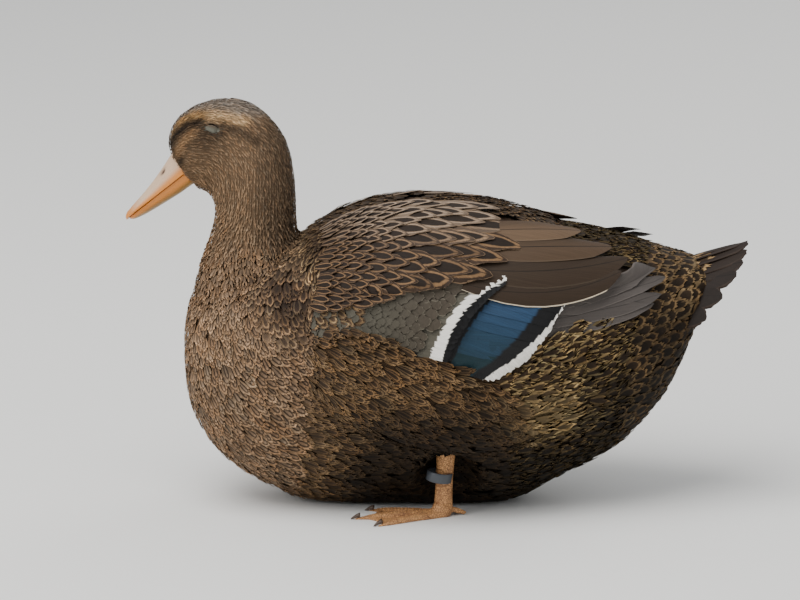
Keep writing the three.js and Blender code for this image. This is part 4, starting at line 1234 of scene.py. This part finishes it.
def tail_coverts(name, facing, seed):
    """Soft blotched feathers in three rows over the base of the fan, or under it where facing is -1."""
    rng = np.random.default_rng(seed)
    rows = np.array(TAIL_COVERT["rows"])
    sheets = []
    for start, end, count in TAIL_COVERT_ROWS:
        sides = np.linspace(-0.95, 0.95, count) + rng.normal(0, 0.03, count)
        ends = end + rng.normal(0, 0.03, count)
        up = fan_up(sides) * facing
        lines = np.stack([tail_place(sides, (start + (ends - start) * share)[:, None]) for share in rows], 1)
        lines = lines + up * ((0.0075 - 0.0085 * end) * (1 - 0.4 * rows[:, None]) + 0.0006)
        sheets.append(free_grid(lines, up, np.full(count, TAIL_COVERT_WIDTH), TAIL_COVERT, rng))
    grid = np.concatenate(sheets)
    tone = rng.normal(1, 0.15, (len(grid), 1)).clip(0.7, 1.4)
    colours = {"ground": RUMP_BROWN * tone, "fringe": RUMP_BUFF * 0.9 * tone, "dark": RUMP_BROWN * 0.35 * tone,
               "grain": rng.uniform(0, 1, (len(grid), 3))}
    ride_for(feather_mesh(name, grid, colours, drop_plumage), "back_plumage")


tail_brown = feather_material("tail_brown", TAIL_BROWN, 0.65, 0.2, 150.0, 0.4, 0.22, tail_marks)
tail_fan()
tail_coverts("upper_tail_coverts", 1, 62)
tail_coverts("under_tail_coverts", -1, 63)


# ---- Feathers of head and neck --------------------------------------------------------------------
# Very small narrow feathers that lie flat, one colour to each and paler along it, so that together
# they make fine streaks of brown and buff. They are smallest at the bill and leave the lids bare.

TUFT = {"rows": [0, 0.5, 1], "columns": 3, "tip": 0.45, "round": 1.0, "fray": 0.0,
        "height": (0.35, 0.95), "lift": 0.3, "camber": 0.02, "taper": 0.6}
LIDS_HALF_SIZE = [0.0066, 1, 0.0034]


def tuft_spacing(points):
    return 0.0019 - 0.0006 * smooth_step(points[:, 2], 0.215, 0.262)


def tuft_marks(tree, ground, vane):
    return toned(tree, ground, stepped(tree, vane.along, 0.1, 0.9, 0.62, 1.15))


def away_from_lids(points):
    out = turned(points, back=True)
    out = (out - EYE_PLACE * np.where(out[:, 1:2] < 0, [[1, 1, 1]], [[1, -1, 1]])) / LIDS_HALF_SIZE
    front = smooth_step(-points[:, 0], 0.14, 0.19)
    return (out[:, 0] ** 2 + out[:, 2] ** 2 > 1) & (points[:, 2] > 0.208 - 0.014 * front)


def head_tufts(name, solid, seed):
    rng = np.random.default_rng(seed)
    numbers = scattered([solid], tuft_spacing, seed, away_from_lids)
    gap = tuft_spacing(inner[numbers])
    lengths = gap * 3.4 * rng.uniform(0.8, 1.25, len(numbers))
    lines = along_lie(numbers, lengths, TUFT["rows"], rng.normal(0, 0.16, len(numbers)))
    grid = vane_grid(lines, gap * rng.uniform(0.8, 1.2, len(numbers)), TUFT, rng)
    tone, warm = tones(len(numbers), rng, 0.30)
    colours = {"ground": ground_colour(inner[numbers]) * tone * warm,
               "grain": rng.uniform(0, 1, (len(numbers), 3))}
    ride_for(feather_mesh(name, grid, colours, head_plumage), "head_plumage")


head_plumage = feather_material("head_plumage", HEAD_GROUND, 0.75, 0.2, 9.0, 0.4, 0.25, tuft_marks)
head_tufts("head_feathers", "head", 21)
head_tufts("neck_feathers", "neck", 22)


# ---- Bill -----------------------------------------------------------------------------------------
# Two horny halves that meet at the mouth, high and narrow at the face and flat and broad in front, with
# a nail at the tip and a nostril on each side.

BILL_ROOT = np.array([-203.0, 263.0])
BILL_POINT = np.array([-255.0, 221.5])
UPPER_DEPTH = 20.5
LOWER_DEPTH = 9.0
MOUTH_GAP = 0.15
# Share of the length from the root, share of the depth, and half the width, in millimetres.
UPPER_BILL = [(-0.12, 1.02, 11), (0, 1.0, 12), (0.2, 0.79, 11.8), (0.4, 0.60, 11.6), (0.6, 0.45, 12.3),
              (0.8, 0.33, 13.2), (0.93, 0.245, 11.6), (0.985, 0.17, 8.4), (1.003, 0.08, 4.2)]
LOWER_BILL = [(-0.1, 1.0, 9.3), (0, 1.04, 10.2), (0.25, 0.98, 10.2), (0.5, 0.80, 10.6), (0.75, 0.60, 11.3),
              (0.88, 0.43, 9.7), (0.94, 0.28, 7.4), (0.965, 0.12, 3.8)]
HORN_TAN = paint(204, 172, 142)
HORN_ORANGE = paint(208, 128, 50)
HORN_UNDER = paint(150, 112, 52)
NOSTRIL_SHADE = paint(60, 36, 26)


def rounded_profile(stations, steps, passes):
    """Stations taken finely and rounded off between the first and the last."""
    stations = np.array(stations, float).T
    shares = np.linspace(stations[0, 0], stations[0, -1], steps)
    columns = np.stack([shares] + [np.interp(shares, stations[0], values) for values in stations[1:]], -1)
    for _ in range(passes):
        columns[1:-1] = (columns[:-2] + 2 * columns[1:-1] + columns[2:]) / 4
    return columns


def tube(made, rings, closed=False):
    """Faces from each ring of places to the next, and over both ends or back to the first ring."""
    rings = [[made.verts.new(Vector(place)) for place in ring] for ring in rings]
    for first, second in zip(rings, rings[1:] + rings[:closed]):
        for step in range(len(first)):
            ahead = (step + 1) % len(first)
            made.faces.new((first[step], first[ahead], second[ahead], second[step]))
    if not closed:
        made.faces.new(rings[0])
        made.faces.new(rings[-1][::-1])
    bmesh.ops.recalc_face_normals(made, faces=made.faces)


def bill_half(name, stations, deepest, up, node):
    """One half as rings from root to tip, each an arch with its foot on a nearly flat floor."""
    share, depth, half_width = rounded_profile(stations, 90, 6).T[:, :, None]
    arc = np.linspace(0, pi, 41)
    floor_line = np.linspace(-0.9, 0.9, 13)
    fall = BILL_POINT - BILL_ROOT
    away = np.array([fall[1], -fall[0]]) / np.linalg.norm(fall) * up
    nostril = np.exp(-((share - 0.22) / 0.045) ** 2 - ((np.abs(arc - pi / 2) - 0.62) / 0.13) ** 2) * (up > 0)
    nail = smooth_step(share, 0.90, 0.93) * smooth_step(0.5 - np.abs(np.cos(arc)), 0, 0.12) * (up > 0)
    lip = np.exp(-(np.minimum(arc, pi - arc) / 0.16) ** 2)
    arch = deepest * depth * np.sin(arc) ** (1.15 - 0.45 * smooth_step(share, 0.1, 0.9))
    arch = arch * (1 - 0.10 * nostril) + 0.35 * nail
    arch_out = half_width * np.sign(np.cos(arc)) * np.abs(np.cos(arc)) ** 0.85
    arch_out = arch_out * (1 - 0.12 * nostril) * (1 + 0.03 * lip)
    low = np.repeat(0.35 * (1 - floor_line[None] ** 2), len(share), 0) * (0.5 if up > 0 else 0.2)
    height = np.concatenate([arch, low], 1)
    out = np.concatenate([arch_out, half_width * floor_line], 1)
    x, z = [BILL_ROOT[axis] + fall[axis] * share + away[axis] * (MOUTH_GAP + height) for axis in (0, 1)]
    made = bmesh.new()
    tube(made, swung(np.stack([x, out, z], -1) / 1000 - HEAD_PIVOT, -HEAD_TURN) + HEAD_PIVOT)
    mesh = mesh_of(made, name)
    rise = (height / deepest / np.maximum(depth, 0.05)).ravel()
    if up > 0:
        shares = np.repeat(share, height.shape[1], 1).ravel()
        marks = [np.concatenate([mark, np.zeros_like(low)], 1).ravel() for mark in (nostril, nail)]
        orange = np.maximum(smooth_step(0.46 - rise, 0, 0.34), smooth_step(shares, 0.62, 0.92))
        colours = blend(np.tile(HORN_TAN, (len(rise), 1)), HORN_ORANGE, orange)
        # The nostril is painted dark as the shade inside its opening.
        colours = blend(colours, NOSTRIL_SHADE, 1.2 * marks[0])
        colours = blend(colours, HORN_ORANGE * 0.75, 0.5 * marks[1])
    else:
        # Olive brown towards the underside of the lower half: painted shade.
        colours = blend(np.tile(HORN_ORANGE, (len(rise), 1)), HORN_UNDER, smooth_step(rise, 0.45, 0.9))
    set_colours(mesh, "ground", colours)
    ride_for(new_piece(name, mesh, bill_horn), "bill_horn", node)


def bill_material():
    """Smooth horn with faint cloudy tones and a few darker specks."""
    material, tree, surface = new_material("bill_horn", HORN_ORANGE, 0.38)
    speck = noise(tree, 420.0, 4.0)
    colour = toned(tree, own(tree, "ground"), stepped(tree, noise(tree, 90.0, 3.0), 0.3, 0.7, 0.86, 1.1))
    colour = mixed(tree, stepped(tree, speck, 0.62, 0.75, 0.0, 0.35), colour, HORN_UNDER * 0.7)
    tree.links.new(colour, surface.inputs["Base Color"])
    tree.links.new(stepped(tree, speck, 0.3, 0.7, 0.30, 0.48), surface.inputs["Roughness"])
    add_relief(tree, surface, speck, 0.25, 0.0004)
    return material


bill_horn = bill_material()
bill_half("bill_top", UPPER_BILL, UPPER_DEPTH, 1, "bill_upper")
bill_half("bill_bottom", LOWER_BILL, LOWER_DEPTH, -1, "bill_lower")


# ---- Legs, feet and claws -------------------------------------------------------------------------
# Short scaly shanks and webbed feet, orange brown, with plates across the front of the shank and along
# the toes, small scales elsewhere, and blunt dark claws.

LEG_ORANGE = paint(214, 158, 104)
LEG_SEAM = paint(96, 58, 34)
CLAW_HORN = paint(70, 54, 42)
SHANK_CELL = 0.0009
FOOT_CELL = 0.0008
SEAM_DEPTH = 0.00028
FOOT_PLACE = np.array([-1.0, -58.0, 0.0])
FOOT_TURN = radians(9)
TOES = [(0, 69.0), (23, 59.0), (-23, 59.0)]
# Claws: the way each points, how far its tip is from the shank, how thick it is and how high it starts.
CLAWS = [(FOOT_TURN + radians(turn), length, 2.0, 3.2) for turn, length in TOES]
CLAWS.append((FOOT_TURN + pi, 20.5, 1.1, 2.2))


def leg_material():
    """Small scales with darker seams, and the seams between the plates."""
    material, tree, surface = new_material("scaly_leg", LEG_ORANGE, 0.5, 0.4)
    place = add_node(tree, "ShaderNodeTexCoord").outputs["Object"]
    scales = add_node(tree, "ShaderNodeTexVoronoi", {"Vector": place, "Scale": 520.0},
                      feature="DISTANCE_TO_EDGE")
    seam = stepped(tree, scales.outputs["Distance"], 0.0, 0.14, 1.0, 0.0)
    seam = reckon(tree, "MAXIMUM", seam, own(tree, "plates", "Fac"))
    cloud = stepped(tree, noise(tree, 120.0, 4.0, Vector=place), 0.35, 0.7, 0.0, 0.7)
    warm = mixed(tree, cloud, LEG_ORANGE, LEG_ORANGE * [0.55, 0.5, 0.5])
    colour = mixed(tree, times(tree, seam, 0.8), warm, LEG_SEAM)
    tree.links.new(colour, surface.inputs["Base Color"])
    add_relief(tree, surface, reckon(tree, "SUBTRACT", 1.0, seam), 0.7, 0.0004)
    return material


def scaly_copy(name, node, cell, hand, plates_at):
    """A finer and rounder copy of a solid, with plates across it."""
    piece = closed_over(name, [node], 0.0, cell)
    mesh = piece.data
    places, normals = corners_of(mesh)
    seam = plates_at(places * [1, hand, 1] * 1000, normals)
    places = places - normals * (SEAM_DEPTH * seam)[:, None]
    places[:, 2] = np.maximum(places[:, 2], 0.0)
    mesh.vertices.foreach_set("co", places.ravel())
    layer = mesh.attributes.new("plates", "FLOAT", "POINT")
    layer.data.foreach_set("value", seam)
    mesh.shade_smooth()
    mesh.update()
    mesh.materials.append(scaly_leg)
    ride_for(piece, "leg_skin", node)


def shank_plates(places, normals):
    """1 in the seams between the plates down the front of the shank."""
    front = smooth_step(-normals[:, 0], 0.1, 0.5)
    return front * np.exp(-((np.mod(places[:, 2], 3.4) - 1.7) / 0.42) ** 2)


def toe_plates(places, normals):
    """1 in the seams between the plates over each toe."""
    out = places[:, :2] - FOOT_PLACE[:2]
    angle = np.arctan2(-out[:, 1], -out[:, 0]) - FOOT_TURN
    far = np.linalg.norm(out, axis=1)
    seam = np.zeros(len(places))
    for turn, _ in TOES:
        off = far * np.sin(np.clip(angle - radians(turn), -1.5, 1.5))
        seam = np.maximum(seam, np.exp(-(off / 2.8) ** 4) * np.exp(-((np.mod(far, 2.9) - 1.4) / 0.38) ** 2))
    return seam * smooth_step(normals[:, 2], 0.1, 0.5) * smooth_step(far, 9, 14)


def claw_set(name, hand):
    """Blunt curved claws at the tips of the toes, and one on the short hind toe."""
    made = bmesh.new()
    around = np.linspace(0, 2 * pi, 12, endpoint=False)
    share = np.linspace(0, 1, 7)[:, None]
    for angle, length, thick, high in CLAWS:
        radius = thick * (1 - share) ** 0.7 + 0.25
        up = high * (1 - share ** 1.6) * 0.9 + 0.4 + radius * 0.9 * np.sin(around)
        rings = np.stack(np.broadcast_arrays(
            -(length - 6.5 + 7.5 * share), -radius * np.cos(around), np.maximum(0.05, up)), -1)
        tube(made, (FOOT_PLACE + swung(rings, angle)) * [1, hand, 1] / 1000)
    ride_for(new_piece(name, mesh_of(made, name), claw_horn), "leg_skin")


scaly_leg = leg_material()
claw_horn, claw_tree, claw_surface = new_material("claw_horn", CLAW_HORN, 0.4)
claw_colour = mixed(claw_tree, noise(claw_tree, 900.0, 3.0), CLAW_HORN * 0.6, CLAW_HORN * 1.5)
claw_tree.links.new(claw_colour, claw_surface.inputs["Base Color"])
for side, hand in SIDES:
    scaly_copy("scaly_shank_" + side, "shank_" + side, SHANK_CELL, hand, shank_plates)
    scaly_copy("scaly_foot_" + side, "foot_" + side, FOOT_CELL, hand, toe_plates)
    claw_set("claws_" + side, hand)


# ---- Leg ring -------------------------------------------------------------------------------------
# A plain ring of slate blue plastic with rounded edges. It hangs loose round the left shank, a little
# aslant, and is scuffed and darker in places.

RING_CENTRE = (0.0002, -0.058, 0.033)
RING_OUTER = 0.0104
RING_WALL = 0.0013
RING_HEIGHT = 0.008
RING_EDGE = 0.00045
RING_TILT = radians(9)
RING_TURNS = 72
RING_SLATE = paint(70, 74, 80)


def ring_band():
    half = RING_HEIGHT / 2
    hole = RING_OUTER - RING_WALL
    profile = [(hole, -half + RING_EDGE), (hole + RING_EDGE, -half), (RING_OUTER - RING_EDGE, -half),
               (RING_OUTER - RING_EDGE * 0.3, -half + RING_EDGE * 0.3), (RING_OUTER, -half + RING_EDGE)]
    profile += [(radius, -height) for radius, height in profile[::-1]]
    made = bmesh.new()
    turns = np.linspace(0, 2 * pi, RING_TURNS, endpoint=False)
    tube(made, [[(radius * cos(turn), radius * sin(turn), height) for radius, height in profile]
                for turn in turns], closed=True)
    bmesh.ops.transform(made, matrix=Matrix.Translation(RING_CENTRE) @ Matrix.Rotation(RING_TILT, 4, "Y"),
                        verts=made.verts)
    material, tree, surface = new_material("ring_plastic", RING_SLATE, 0.4)
    wear = noise(tree, 320.0, 5.0)
    colour = mixed(tree, stepped(tree, wear, 0.45, 0.7, 0.0, 0.5), RING_SLATE, RING_SLATE * 0.5)
    tree.links.new(colour, surface.inputs["Base Color"])
    tree.links.new(stepped(tree, wear, 0.3, 0.7, 0.3, 0.55), surface.inputs["Roughness"])
    ride_for(new_piece("ring_band", mesh_of(made, "ring_band"), material), "ring_plastic", "leg_ring")


ring_band()
